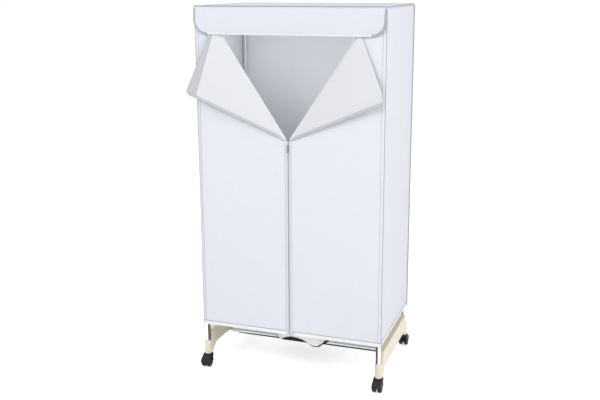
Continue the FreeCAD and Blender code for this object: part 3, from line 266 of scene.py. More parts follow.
blackPlastic = hardMaterial("blackPlastic", (0.008, 0.008, 0.009), (0.013, 0.013, 0.014), (0.38, 0.55),
                            specular=0.25, dust=(0.08, 0.075, 0.07), dustHeight=0.03)
wheelRubber = hardMaterial("wheelRubber", (0.008, 0.008, 0.009), (0.014, 0.014, 0.014), (0.45, 0.6),
                           specular=0.25, grainHeight=0.00004, dust=(0.12, 0.11, 0.1), dustHeight=0.012)
zincSteel = hardMaterial("zincSteel", (0.62, 0.62, 0.63), (0.5, 0.5, 0.5), (0.22, 0.4), metallic=1.0)
heaterWhite = hardMaterial("heaterWhite", (0.93, 0.93, 0.93), (0.90, 0.90, 0.905), (0.25, 0.4))
heaterBlack = hardMaterial("heaterBlack", (0.012, 0.013, 0.015), (0.02, 0.021, 0.023), (0.3, 0.45))
motorPlate = hardMaterial("motorPlate", (0.6, 0.6, 0.6), (0.5, 0.5, 0.5), (0.25, 0.4), metallic=1.0)
elementFoil = hardMaterial("elementFoil", (0.75, 0.75, 0.76), (0.6, 0.6, 0.62), (0.3, 0.5), metallic=1.0)
zipMetal = hardMaterial("zipMetal", (0.33, 0.33, 0.35), (0.26, 0.26, 0.28), (0.25, 0.4), metallic=0.6)

cadFinishes = {
    "foot": creamPlastic, "base_tube": chrome, "post_lower": chrome, "post_upper": chrome,
    "top_tube": chrome, "hanging_rail": chrome, "post_joiners": connectorPlastic,
    "top_corners": connectorPlastic, "rail_tees": connectorPlastic, "zip_slider": zipMetal,
    "zip_pull": zipMetal, "heater_base": heaterBlack, "heater_shell": heaterWhite,
    "heater_grille": heaterBlack, "heater_fan": blackPlastic, "heater_motor": motorPlate,
    "heater_element": elementFoil, "heater_inlet": heaterBlack, "timer_knob": heaterBlack,
}
for nodeName, node in frame["nodes"].items():
    finish = next((value for start, value in cadFinishes.items() if nodeName.startswith(start)), None)
    if nodeName.startswith("castor"):
        finish = wheelRubber if "wheel" in nodeName else zincSteel if "pins" in nodeName else blackPlastic
    if finish:
        for materialSlot in node.material_slots:
            materialSlot.material = finish
print("finishes made")


# makers of meshes

def addPiece(name, vertices, faces, materials, faceMaterials=None, cuts=None, smooth=True):
    # faces may be a list of faces with any number of corners
    mesh = bpy.data.meshes.new(name)
    faces = faces.tolist() if isinstance(faces, np.ndarray) else faces
    mesh.from_pydata(np.asarray(vertices, float).tolist(), [], faces)
    for material in materials:
        mesh.materials.append(material)
    if faceMaterials is not None:
        mesh.polygons.foreach_set("material_index", np.asarray(faceMaterials, np.int32))
    if cuts is not None:
        layer = mesh.uv_layers.new(name="cut")
        corners = np.zeros(len(mesh.loops), np.int32)
        mesh.loops.foreach_get("vertex_index", corners)
        layer.data.foreach_set("uv", np.asarray(cuts, np.float32)[corners].ravel())
    mesh.polygons.foreach_set("use_smooth", np.full(len(mesh.polygons), smooth))
    mesh.update()
    piece = bpy.data.objects.new(name, mesh)
    scene.collection.objects.link(piece)
    return piece


def gridNormals(grid, closed=False):
    along = np.gradient(grid, axis=0)
    if closed:
        wide = np.concatenate([grid[:, -1:], grid, grid[:, :1]], axis=1)
        across = (wide[:, 2:] - wide[:, :-2]) / 2
    else:
        across = np.gradient(grid, axis=1)
    normals = np.cross(across, along)
    return normals / np.linalg.norm(normals, axis=2, keepdims=True)


def addSheet(name, grid, cuts, materials, zone=None, thickness=cloth, closed=False, rimMaterial=1):
    # grid is the middle of the sheet; the first material is on the side that its normals face
    rows, columns = grid.shape[:2]
    normals = gridNormals(grid, closed) * thickness / 2
    vertices = np.concatenate([(grid + normals).reshape(-1, 3), (grid - normals).reshape(-1, 3)])
    count = rows * columns
    index = np.arange(count).reshape(rows, columns)
    if closed:
        index = np.concatenate([index, index[:, :1]], axis=1)
    low, high = index[:-1, :-1].ravel(), index[1:, :-1].ravel()
    lowNext, highNext = index[:-1, 1:].ravel(), index[1:, 1:].ravel()
    front = np.stack([low, lowNext, highNext, high], axis=1)
    back = front[:, ::-1] + count
    rim = []
    edges = [index[0, :], index[-1, ::-1]]
    if not closed:
        edges += [index[::-1, 0], index[:, -1]]
    for edge in edges:
        rim.append(np.stack([edge[1:], edge[:-1], edge[:-1] + count, edge[1:] + count], axis=1))
    rim = np.concatenate(rim)
    frontZone = np.zeros(len(front), int) if zone is None else zone.ravel()
    marks = np.concatenate([frontZone, np.full(len(back), 1), np.full(len(rim), rimMaterial)])
    if len(materials) == 1:
        marks[:] = 0
    flat = np.concatenate([cuts.reshape(-1, 2)] * 2)
    return addPiece(name, vertices, np.concatenate([front, back, rim]), materials, marks, flat)


def addCord(name, runs, radius, material, sides=8, closed=False):
    # round cords of one radius along polylines; UVs run along and round the cord
    vertices, faces, cuts = [], [], []
    for points in runs:
        points = np.asarray(points, float)
        ahead = np.roll(points, -1, axis=0) - points
        behind = points - np.roll(points, 1, axis=0)
        if not closed:
            ahead[-1], behind[0] = behind[-1], ahead[0]
        tangent = ahead / np.linalg.norm(ahead, axis=1, keepdims=True)
        tangent = tangent + behind / np.linalg.norm(behind, axis=1, keepdims=True)
        tangent /= np.linalg.norm(tangent, axis=1, keepdims=True)
        spread = np.abs(tangent).max(axis=0)
        helper = np.eye(3)[np.argmin(spread)]
        side = np.cross(tangent, helper)
        side /= np.linalg.norm(side, axis=1, keepdims=True)
        up = np.cross(tangent, side)
        first = len(vertices)
        length = np.concatenate([[0], np.cumsum(np.linalg.norm(np.diff(points, axis=0), axis=1))])
        for place, right, over, run in zip(points, side, up, length):
            for step in range(sides):
                turn = 2 * math.pi * step / sides
                vertices.append(place + radius * (math.cos(turn) * right + math.sin(turn) * over))
                cuts.append((run, radius * turn))
        rings = len(points)
        for ring in range(rings if closed else rings - 1):
            here, there = first + ring * sides, first + (ring + 1) % rings * sides
            for step in range(sides):
                after = (step + 1) % sides
                faces.append([here + step, here + after, there + after, there + step])
        if not closed:
            last = first + (rings - 1) * sides
            middle = len(vertices)
            vertices += [points[0], points[-1]]
            cuts += [(0, 0), (length[-1], 0)]
            for step in range(sides):
                after = (step + 1) % sides
                faces.append([first + after, first + step, middle])
                faces.append([last + step, last + after, middle + 1])
    return addPiece(name, vertices, faces, [material], cuts=cuts)


def ripples(first, second, seed, waves=5):
    # slow folds between 0 and 1, longer along the second direction
    draw = np.random.RandomState(seed)
    total = np.zeros(np.broadcast(first, second).shape)
    for _ in range(waves):
        turns = first * draw.uniform(2.0, 5.0) + second * draw.uniform(-1.3, 1.3)
        total = total + np.sin(2 * math.pi * turns + draw.uniform(0, 2 * math.pi))
    return 0.5 + 0.5 * total / waves


def easeIn(distance, width):
    share = np.clip(distance / width, 0, 1)
    return share * share * (3 - 2 * share)


def spaced(start, stop, step):
    return np.linspace(start, stop, max(2, int(round(abs(stop - start) / step)) + 1))


def upright(x, y, heights):
    # points of a vertical line at the given heights
    return np.column_stack([np.full(len(heights), x), np.full(len(heights), y), heights])


# shoulders of the castor hoods, between the wheels' hood and the leg

shoulderValues = {
    "half": 0.0183,         # half of the width
    "innerRadius": 0.0226,  # lower face, inside the hood's wall
    "outline": ((0.0105, 0.038), (0.0125, 0.042), (0.0125, 0.0515), (0.0102, 0.0543), (-0.0102, 0.0543),
                (-0.0155, 0.0525), (-0.024, 0.0460)),
    "arc": (35, 130),       # ends of the arc over the wheels, in degrees
    "arcSteps": 9,
    "bevel": 0.0022,
    "bevelFrom": 0.045,     # the bevel lowers only what is above this
    "bevelReach": 0.012,    # and draws the outline in by its share of this
}
axle = joints["castor_front_left_roll_a"]["pos_m"]
wheelHeight = axle[2]
wheelTrail = abs(axle[1] - joints["castor_front_left_swivel"]["pos_m"][1])


def shoulderOutline(inset):
    # outline across the axle: outer points, then the arc over the wheels
    narrow = 1 - inset / shoulderValues["bevelReach"]
    points = [(y * narrow, z - inset * (z > shoulderValues["bevelFrom"]))
              for y, z in shoulderValues["outline"]]
    arcEnd, arcStart = shoulderValues["arc"]
    for angle in np.radians(np.linspace(arcStart, arcEnd, shoulderValues["arcSteps"])):
        points.append((shoulderValues["innerRadius"] * math.cos(angle) - wheelTrail,
                       wheelHeight + shoulderValues["innerRadius"] * math.sin(angle)))
    return points


for corner in ("front_left", "front_right", "back_left", "back_right"):
    swivel = joints[f"castor_{corner}_swivel"]["pos_m"]
    facing = 1 if swivel[1] < 0 else -1
    half, bevel = shoulderValues["half"], shoulderValues["bevel"]
    layers = [(-half, bevel), (bevel - half, 0), (half - bevel, 0), (half, bevel)]
    vertices = [(swivel[0] + facing * x, swivel[1] + facing * y, z)
                for x, inset in layers for y, z in shoulderOutline(inset)]
    count = len(vertices) // len(layers)
    faces = []
    for here in range(0, (len(layers) - 1) * count, count):
        faces += [[here + i, here + (i + 1) % count, here + count + (i + 1) % count, here + count + i]
                  for i in range(count)]
    faces += [list(range(count))[::-1], [(len(layers) - 1) * count + i for i in range(count)]]
    shoulder = addPiece(f"castorShoulder_{corner}", vertices, faces, [blackPlastic], smooth=False)
    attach(shoulder, f"castor_{corner}")
print("castors finished")


# lip of the heater's tray, seen as a thin black line under the shell's lobe

lipValues = {
    "start": 0.034,             # ends along X
    "end": 0.106,
    "steps": 25,
    "lobeCentre": (0.0649, 0.1398),
    "lobeRadius": 0.047,
    "lobeBottom": 0.094,
    "drop": 0.0045,             # shows this far below the lobe
    "rise": 0.003,              # hidden behind the shell's wall
    "blunt": 0.03,              # share left out at each end of the drop's curve
    "inset": 0.0012,
    "thickness": 0.0016,
    "cornerStart": 0.074,       # where the shell's corner begins to turn
    "cornerRadius": 0.039,
}
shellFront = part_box("heater_shell")[0].y
along = np.linspace(lipValues["start"], lipValues["end"], lipValues["steps"])
lobeX, lobeZ = lipValues["lobeCentre"]
lobe = lobeZ - np.sqrt(lipValues["lobeRadius"] ** 2 - (along - lobeX) ** 2)
lobe = np.maximum(lobe, lipValues["lobeBottom"])
share = (along - along[0]) / (along[-1] - along[0])
cornerReach = lipValues["cornerRadius"] - lipValues["inset"]
turn = np.arcsin(np.clip(along - lipValues["cornerStart"], 0, None) / lipValues["cornerRadius"])
planX = np.minimum(along, lipValues["cornerStart"]) + cornerReach * np.sin(turn)
planY = shellFront + lipValues["inset"] + cornerReach * (1 - np.cos(turn))
share = lipValues["blunt"] + (1 - 2 * lipValues["blunt"]) * share
shown = lipValues["drop"] * np.sqrt(np.sin(share * math.pi))
lipRows = [lobe - shown, lobe, lobe + lipValues["rise"]]
lipGrid = np.stack([np.tile(planX, (3, 1)), np.tile(planY, (3, 1)), np.array(lipRows)], axis=2)
trayLip = addSheet("heaterTrayLip", lipGrid, lipGrid[:, :, [0, 2]], [heaterBlack],
                   thickness=lipValues["thickness"])
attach(trayLip, "cabinet")


# cover: top, back and sides

coverValues = {
    "step": 0.012,          # spacing of the mesh
    "hemBand": 0.016,       # height of the turned hem
    "topSag": 0.004,        # sag of the top between its tubes
    "sagMargin": 0.011,     # level over the tubes
    "sagEase": 0.12,        # from a side tube to the full sag
    "sagUneven": 0.3,
    "wallRipple": 0.0022,   # outward folds of the walls
    "frontRipple": 0.0016,  # outward folds of the front
    "cornerCalm": 0.05,     # the folds die away towards a corner, the top edge and the hem
    "topCalm": 0.12,
    "hemCalm": 0.06,
}

xs = spaced(-halfWidth, halfWidth, coverValues["step"])
ys = spaced(-halfDepth, halfDepth, coverValues["step"])
gridX, gridY = np.meshgrid(xs, ys)
spanY = halfDepth - coverValues["sagMargin"]
sag = np.sin(np.clip(np.abs(gridY) / spanY, 0, 1) * math.pi) ** 2
fromSide = halfWidth - coverValues["sagMargin"] - np.abs(gridX)
sag *= np.sin(np.clip(fromSide / coverValues["sagEase"], 0, 1) * math.pi / 2)
sag *= 1 - coverValues["sagUneven"] + coverValues["sagUneven"] * ripples(gridX, gridY, 3)
topGrid = np.stack([gridX, gridY, coverTop - cloth / 2 - coverValues["topSag"] * sag], axis=2)
coverTopCloth = addSheet("coverTopCloth", topGrid, topGrid[:, :, :2], [shadedTopFabric, insideLining])
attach(coverTopCloth, "cabinet")
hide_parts("cover_top")

zs = spaced(hemZ, coverTop - cloth, coverValues["step"])


def wallEnvelope(along, height, halfLength):
    # no outward folds at the corners, the top edge and the hem
    return (easeIn(halfLength - np.abs(along), coverValues["cornerCalm"])
            * easeIn(coverTop - height, coverValues["topCalm"])
            * easeIn(height - hemZ - coverValues["hemBand"], coverValues["hemCalm"]))


for name, sign in (("Left", -1), ("Right", 1)):
    order = ys if sign > 0 else ys[::-1]
    wallY, wallZ = np.meshgrid(order, zs)
    out = coverValues["wallRipple"] * ripples(wallY, wallZ, 11 + sign) * wallEnvelope(wallY, wallZ, halfDepth)
    grid = np.stack([sign * (halfWidth - cloth / 2 + out), wallY, wallZ], axis=2)
    side = addSheet(f"coverSide{name}Cloth", grid, grid[:, :, 1:], [coverFabric, insideLining])
    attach(side, "cabinet")
    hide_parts(f"cover_side_{name.lower()}")

backX, backZ = np.meshgrid(spaced(halfWidth - cloth, cloth - halfWidth, coverValues["step"]), zs)
out = coverValues["wallRipple"] * ripples(backX, backZ, 21) * wallEnvelope(backX, backZ, halfWidth)
backGrid = np.stack([backX, halfDepth - cloth / 2 + out, backZ], axis=2)
coverBackCloth = addSheet("coverBackCloth", backGrid, backGrid[:, :, ::2], [coverFabric, insideLining])
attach(coverBackCloth, "cabinet")
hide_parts("cover_back")
print("cover's top, back and sides hung")


# cover: front panels, with the corners folded back

foldSlope = foldSine / foldCosine
frontValues = {
    "zipHalf": 0.0028,      # front panel's edge beside the zip's middle
    "leftStrip": 0.044,     # strips above the folded corners
    "rightStrip": 0.018,
    "stripEnd": 0.008,      # width of the left strip at the fold
    "foldRadius": 0.0015,   # middle of the cloth in the fold
    "foldSteps": 10,
    "tapeWidth": 0.0125,    # zip tape on each edge
    "tapeLine": 0.4,        # share of the tape's width at its middle line
    "flapBulge": 0.004,     # hollow of a folded corner between its edges
    "bulgeRun": 0.24,       # and the width that it spans
    "bulgeEase": 0.1,       # the hollow dies away towards the zip and the strip
    "flapStep": 0.008,
    "stripStep": 0.006,
    "flapColumns": 26,
    "foldStart": 0.011,     # the folded corner begins this far above the tip
    "foldRows": 70,
    "creaseGap": 0.001,     # crease of the strip above the opening's height
    "turnedShare": 0.85,    # how far the free point is turned in
    "cornerCalm": 0.06,     # the front's folds die away towards its edges
    "foldCalm": 0.09,
    "zipFlat": 0.012,
    "zipCalm": 0.08,
    "topFlat": 0.02,
    "topCalm": 0.1,
    "tipGap": 0.005,        # first row of the panel above the tip, and above the strip
    "stripGap": 0.002,
    "topStep": 0.01,
    "columns": 34,
}
openHeight = tip.z
openReach = valanceLow.z - openHeight
stripTop = valanceLow.z + frontValues["leftStrip"]
panelY = -halfDepth + cloth / 2


def frontRipple(x, z):
    # flat along the zip, the fold, the corner and the hem
    edge = np.maximum(0, z - openHeight) * foldSlope
    fromFold = (np.abs(x) - edge) * foldCosine
    calm = easeIn(halfWidth - np.abs(x), frontValues["cornerCalm"])
    calm = calm * easeIn(fromFold, frontValues["foldCalm"])
    calm = calm * easeIn(np.abs(x) - frontValues["zipFlat"], frontValues["zipCalm"])
    calm = calm * easeIn(z - hemZ - coverValues["hemBand"], coverValues["hemCalm"])
    calm = calm * easeIn(stripTop + frontValues["topFlat"] - z, frontValues["topCalm"])
    return coverValues["frontRipple"] * ripples(x, z, 31) * calm


for name, sign in (("Left", -1), ("Right", 1)):
    zRows = np.concatenate([
        spaced(hemZ, openHeight, coverValues["step"])[:-1],
        spaced(openHeight + frontValues["tipGap"], stripTop, coverValues["step"]),
        spaced(stripTop + frontValues["stripGap"], coverTop - cloth, frontValues["topStep"]),
    ])
    inner = np.where(zRows < openHeight, frontValues["zipHalf"],
                     np.minimum(zRows - openHeight, stripTop - openHeight) * foldSlope)
    inner = np.maximum(inner, frontValues["zipHalf"])
    share = np.linspace(0, 1, frontValues["columns"])
    columnX = sign * (inner[:, None] + (halfWidth - cloth - inner[:, None]) * share[None, :])
    columnZ = np.repeat(zRows[:, None], len(share), axis=1)
    if sign < 0:
        columnX, columnZ = columnX[:, ::-1], columnZ[:, ::-1]
    grid = np.stack([columnX, panelY - frontRipple(columnX, columnZ), columnZ], axis=2)
    panel = addSheet(f"coverFront{name}Cloth", grid, grid[:, :, ::2], [coverFabric, insideLining])
    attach(panel, "cabinet")
    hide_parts(f"cover_front_{name.lower()}")
    width, height = halfWidth - cloth, coverTop - cloth - hemZ


def foldedPlace(sign, distance, rise):
    # a point of the folded corner, from its distance to the zip's edge and its height above the tip
    along = np.array([sign * foldSine, 0, foldCosine])
    across = np.array([sign * foldCosine, 0, -foldSine])
    v = distance * foldSine + rise * foldCosine
    u = rise * foldSine - distance * foldCosine
    ease = frontValues["bulgeEase"]
    hollow = np.sin(np.clip(u / frontValues["bulgeRun"], 0, 1) * math.pi) * np.clip(distance / ease, 0, 1)
    hollow = hollow * np.clip((openReach - rise) / ease, 0, 1)
    depth = frontValues["foldRadius"] + math.sin(flapAngle) * u + frontValues["flapBulge"] * hollow
    place = np.array(tip) + v[..., None] * along + (u * math.cos(flapAngle))[..., None] * across
    return place - depth[..., None] * np.array([0, 1, 0])


def addBlocks(name, centres, along, across, facing, size, material):
    # one small block at each centre; size runs along, across and through
    shape = np.array([(a, b, c) for a in (-1, 1) for b in (-1, 1) for c in (-1, 1)], float) / 2
    vertices = (centres[:, None, :] + shape[None, :, 0:1] * size[0] * along[:, None, :]
                + shape[None, :, 1:2] * size[1] * across[:, None, :]
                + shape[None, :, 2:3] * size[2] * facing[:, None, :])
    sides = np.array([(0, 1, 3, 2), (4, 6, 7, 5), (0, 4, 5, 1), (2, 3, 7, 6), (0, 2, 6, 4), (1, 5, 7, 3)])
    hand = np.sign(np.einsum("ij,ij->i", np.cross(along, across), facing))[0]
    if hand < 0:
        sides = sides[:, ::-1]
    faces = (sides[None] + 8 * np.arange(len(centres))[:, None, None]).reshape(-1, 4)
    return addPiece(name, vertices.reshape(-1, 3), faces, [material], smooth=False)


zipValues = {
    "pitch": 0.003,                       # teeth on one edge
    "tooth": (0.0013, 0.0034, 0.0011),    # height, width and thickness of a tooth
    "toothReach": 0.0012,                 # tooth's middle from the zip's middle, where it is closed
    "openReach": 0.0023,                  # and on the folded corners
    "tapeThickness": 0.0006,
    "tapeFace": 0.0004,                   # tape standing out from the cover
    "tapeLines": (0.002, 0.006, 0.0095),  # columns of the tape, inside its width
    "tapeStep": 0.02,
    "tapeLow": 0.0005,                    # tape's ends from the hem and the tip
    "tapeHigh": 0.002,
    "toothFace": 0.00055,
    "toothStart": 0.012,                  # first tooth of a folded corner, above the tip
    "toothMargin": 0.004,                 # teeth's ends from the hem and the tip
    "cutClear": 1.6,                      # teeth and seam end this many cuts below the free point
    "probe": 0.001,                       # step over which a direction is measured
    "seamRadius": 0.0007,
    "seamLift": 0.0005,
    "seamStep": 0.02,
    "stripSeam": (0.005, 0.06),           # start and step of the strip's seam, as shares of its length
}

# name, side, strip's width, direction and depth in which the free point is turned in
corners = (("Left", -1, frontValues["leftStrip"], (-0.707, 0.707), 0.009),
           ("Right", 1, frontValues["rightStrip"], (-0.386, 0.922), 0.015))
for name, sign, strip, cutDirection, cutDepth in corners:
    body = f"flap_{name.lower()}"
    reach = openReach + strip
    low = frontValues["foldStart"]
    crease = openReach + frontValues["creaseGap"]
    heights = np.concatenate([spaced(low, crease, frontValues["flapStep"])[:-1],
                              spaced(crease, reach, frontValues["stripStep"])])
    columns = []
    for height in heights:
        total = height * foldSlope
        tape = min(frontValues["tapeWidth"], total / 2)
        edge = frontValues["zipHalf"]
        middle = edge + frontValues["tapeLine"] * (tape - edge)
        lining = np.linspace(tape, total, frontValues["flapColumns"])[1:]
        columns.append(np.concatenate([[edge, middle, tape], lining]))
    distance = np.array(columns)
    rise = np.repeat(heights[:, None], distance.shape[1], axis=1)
    if sign < 0:
        # the turned strip gets narrower towards the fold
        total = rise * foldSlope
        reached = np.clip(distance / total, 0, 1)
        climb = (strip - frontValues["stripEnd"]) * reached
        lower = np.clip(rise / openReach, 0, 1) ** 2
        upper = np.clip((reach - rise) / strip, 0, 1)
        shifted = rise + climb * np.where(rise < openReach, lower, upper)
        tape = np.minimum(frontValues["tapeWidth"], total / 2)
        wider = (shifted * foldSlope - tape) / (total - tape)
        distance = np.where(distance <= tape, distance, tape + (distance - tape) * wider)
        rise = shifted
    # the free point is turned in
    past = distance * cutDirection[0] + rise * cutDirection[1] - (reach * cutDirection[1] - cutDepth)
    past = np.clip(past, 0, None) * frontValues["turnedShare"]
    cutDistance, cutRise = distance - past * cutDirection[0], rise - past * cutDirection[1]
    spot = foldedPlace(sign, cutDistance, cutRise)
    cuts = np.stack([distance, rise], axis=2)
    zone = np.zeros((spot.shape[0] - 1, spot.shape[1] - 1), int)
    zone[:, :2] = 2
    if sign < 0:
        zone[heights[:-1] >= openReach, :] = 3
    else:
        spot, cuts, zone = spot[:, ::-1], cuts[:, ::-1], zone[:, ::-1]
    flap = addSheet(f"flap{name}Cloth", spot, cuts, [flapLining, coverFabric, paleTape, turnedFabric],
                    zone=zone, rimMaterial=2)
    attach(flap, body)
    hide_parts(body, f"{body}_hem")

    # teeth along the zip's edge, and the tape's seam
    edgeEnd = reach - cutDepth * zipValues["cutClear"]
    probe = zipValues["probe"]
    toothRise = np.arange(zipValues["toothStart"], edgeEnd, zipValues["pitch"])
    zero = np.zeros(len(toothRise))
    centres = foldedPlace(sign, zero + zipValues["openReach"], toothRise)
    up = foldedPlace(sign, zero, toothRise + probe) - foldedPlace(sign, zero, toothRise)
    up /= np.linalg.norm(up, axis=1, keepdims=True)
    inward = foldedPlace(sign, zero + probe, toothRise) - foldedPlace(sign, zero, toothRise)
    inward /= np.linalg.norm(inward, axis=1, keepdims=True)
    teeth = addBlocks(f"flap{name}Teeth", centres, up, inward, np.cross(up, inward), zipValues["tooth"],
                      zipTeethPlastic)
    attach(teeth, body)
    seamRise = spaced(2 * frontValues["tapeWidth"] / foldSlope, edgeEnd, zipValues["seamStep"])
    lift = np.array([0, zipValues["seamLift"], 0])
    runs = [foldedPlace(sign, np.full(len(seamRise), frontValues["tapeWidth"]), seamRise) - lift]
    if sign < 0:
        reached = spaced(zipValues["stripSeam"][0], 1, zipValues["stripSeam"][1])
        seamRise = openReach + (strip - frontValues["stripEnd"]) * reached
        runs.append(foldedPlace(sign, reached * seamRise * foldSlope, seamRise) - lift)
    seam = addCord(f"flap{name}Seam", runs, zipValues["seamRadius"], bindingTape, sides=6)
    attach(seam, body)

    # the fold itself, from the front panel round to the corner
    along = np.array([sign * foldSine, 0, foldCosine])
    across = np.array([sign * foldCosine, 0, -foldSine])
    runs = np.linspace(low / foldCosine, reach / foldCosine, frontValues["foldRows"])
    turns = np.linspace(0, math.pi, frontValues["foldSteps"] + 1)
    radius = frontValues["foldRadius"]
    ring = [np.array(tip) + runs[:, None] * along - radius * math.sin(turn) * across
            + radius * math.cos(turn) * np.array([0, 1, 0]) for turn in turns]
    foldGrid = np.array(ring)
    foldCuts = np.stack(np.meshgrid(radius * turns, runs, indexing="ij"), axis=2)
    if sign > 0:
        foldGrid, foldCuts = foldGrid[:, ::-1], foldCuts[:, ::-1]
    fold = addSheet(f"fold{name}Cloth", foldGrid, foldCuts, [insideLining, coverFabric])
    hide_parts(body)
    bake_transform(fold)
print("front hung and its corners folded back")


# zip below the opening

zipFront = -halfDepth - zipValues["tapeFace"]
for name, sign in (("Left", -1), ("Right", 1)):
    tapeX = sign * np.array([*zipValues["tapeLines"], frontValues["tapeWidth"]])
    if sign < 0:
        tapeX = tapeX[::-1]
    tapeZ = spaced(hemZ + zipValues["tapeLow"], openHeight - zipValues["tapeHigh"], zipValues["tapeStep"])
    gridX, gridZ = np.meshgrid(tapeX, tapeZ)
    grid = np.stack([gridX, np.full(gridX.shape, zipFront + zipValues["tapeThickness"] / 2), gridZ], axis=2)
    tape = addSheet(f"zipTape{name}", grid, grid[:, :, ::2], [zipTapeFabric],
                    thickness=zipValues["tapeThickness"])
    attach(tape, "cabinet")
zipTop, zipBottom = openHeight - zipValues["toothMargin"], hemZ + zipValues["toothMargin"]
toothY = -halfDepth - zipValues["toothFace"] + zipValues["tooth"][2] / 2
toothRows = []
for sign in (-1, 1):
    # the right row stands half a pitch higher, between the left row's teeth
    start = zipBottom + (1 + sign) / 2 * zipValues["pitch"] / 2
    heights = np.arange(start, zipTop, zipValues["pitch"])
    toothRows.append(upright(sign * zipValues["toothReach"], toothY, heights))
centres = np.concatenate(toothRows)
up, sideways, back = (np.tile(axis, (len(centres), 1)) for axis in np.eye(3)[[2, 0, 1]])
zipTeeth = addBlocks("zipTeeth", centres, up, sideways, back, zipValues["tooth"], zipTeethPlastic)
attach(zipTeeth, "cabinet")
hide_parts("zip_chain")


# seams, hem and piping

trimValues = {
    "hemOut": 0.45,           # hem outside the cover's faces, as a share of the cloth
    "hemCorner": 0.002,
    "hemThickness": 0.0007,
    "seamRadius": 0.0007,
    "hemSeamRadius": 0.0011,
    "cornerSeam": 0.011,      # seam beside the front corners
    "cornerSeamTop": 0.02,    # and how far it goes under the valance
    "seamOut": 0.0002,
    "seamStep": 0.04,
    "zipSeamLow": 0.004,      # ends of the seams beside the zip, from the hem and the tip
    "zipSeamHigh": 0.012,
    "pipingRadius": 0.0016,
    "backCordRadius": 0.0025,
    "topCordRadius": 0.0021,
    "cordRise": 0.0015,       # top cord's rise behind the front edge
    "riseRun": 0.08,
    "cordOut": 0.6,           # cords' middles from the faces, as shares of their radius
    "cordIn": 0.7,
    "cordGap": 0.004,         # corner cords end this far below the top cord
    "cordStep": 0.06,
    "pipingCorner": 0.006,    # radius in which the piping turns a corner
    "pathStep": 0.025,
}


def roundedPath(width, depth, radius, height, gap=0.0, steps=6):
    # closed path round a rectangle, starting at the middle of the front; gap opens it there
    corners = []
    for turn, (sx, sy) in enumerate(((1, -1), (1, 1), (-1, 1), (-1, -1))):
        centre = np.array([sx * (width - radius), sy * (depth - radius)])
        for step in range(steps + 1):
            angle = -math.pi / 2 + (turn + step / steps) * math.pi / 2
            corners.append(centre + radius * np.array([math.cos(angle), math.sin(angle)]))
    points = [np.array([gap, -depth])] + corners + [np.array([-gap, -depth])]
    path = [points[0]]
    for before, after in zip(points[:-1], points[1:]):
        pieces = max(1, int(round(np.linalg.norm(after - before) / trimValues["pathStep"])))
        path += [before + (after - before) * piece / pieces for piece in range(1, pieces + 1)]
    path = np.array(path)
    return np.column_stack([path, np.full(len(path), height)])


hemOut = cloth * trimValues["hemOut"]
hemPath = roundedPath(halfWidth + hemOut, halfDepth + hemOut, trimValues["hemCorner"], hemZ,
                      gap=frontValues["tapeWidth"])
hemRows = [hemPath + [0, 0, share * coverValues["hemBand"]] for share in (0, 0.06, 0.5, 0.94, 1)]
hemGrid = np.array(hemRows)
hemRun = np.concatenate([[0], np.cumsum(np.linalg.norm(np.diff(hemPath, axis=0), axis=1))])
hemCuts = np.stack(np.meshgrid(hemRun, hemGrid[:, 0, 2], indexing="xy"), axis=2)
coverHem = addSheet("coverHem", hemGrid, hemCuts, [hemFabric], thickness=trimValues["hemThickness"])
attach(coverHem, "cabinet")

hemSeam = addCord("hemSeam", [hemPath + [0, 0, coverValues["hemBand"]]], trimValues["hemSeamRadius"],
                  seamThread, sides=6)
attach(hemSeam, "cabinet")
seamRuns, zipSeamRuns = [], []
seamY = -halfDepth - trimValues["seamOut"]
cornerHeights = spaced(hemZ + coverValues["hemBand"], valanceLow.z + trimValues["cornerSeamTop"],
                       trimValues["seamStep"])
zipHeights = spaced(hemZ + trimValues["zipSeamLow"], openHeight - trimValues["zipSeamHigh"],
                    trimValues["seamStep"])
for sign in (-1, 1):
    seamRuns.append(upright(sign * (halfWidth - trimValues["cornerSeam"]), seamY, cornerHeights))
    zipSeamRuns.append(upright(sign * frontValues["tapeWidth"], seamY, zipHeights))
coverSeams = addCord("coverSeams", seamRuns, trimValues["seamRadius"], bindingTape, sides=6)
zipSeams = addCord("zipSeams", zipSeamRuns, trimValues["seamRadius"], paleTape, sides=6)
for piece in (coverSeams, zipSeams):
    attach(piece, "cabinet")

pipingTop = coverTop - trimValues["topCordRadius"]
cordOut = trimValues["topCordRadius"] * trimValues["cordOut"]
topLoop = roundedPath(halfWidth + cordOut, halfDepth + cordOut, trimValues["pipingCorner"], pipingTop)
# the cord lies lower where the lifted valance folds over it
topLoop[:, 2] += trimValues["cordRise"] * easeIn(topLoop[:, 1] + halfDepth, trimValues["riseRun"])
coverPiping = addCord("coverPiping", [topLoop[:-1]], trimValues["topCordRadius"], borderTape, closed=True)
cornerCords = []
heights = spaced(hemZ, pipingTop - trimValues["cordGap"], trimValues["cordStep"])
for name, signY, key in (("front", -1, "pipingRadius"), ("back", 1, "backCordRadius")):
    radius = trimValues[key]
    x, y = halfWidth + radius * trimValues["cordOut"], signY * (halfDepth - radius * trimValues["cordIn"])
    cornerRuns = [upright(signX * x, y, heights) for signX in (-1, 1)]
    cornerCords.append(addCord(f"cornerPiping_{name}", cornerRuns, radius, bindingTape))
for piece in (coverPiping, *cornerCords):
    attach(piece, "cabinet")
    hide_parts("cover_piping")
print("zip, seams and piping sewn")


# valance

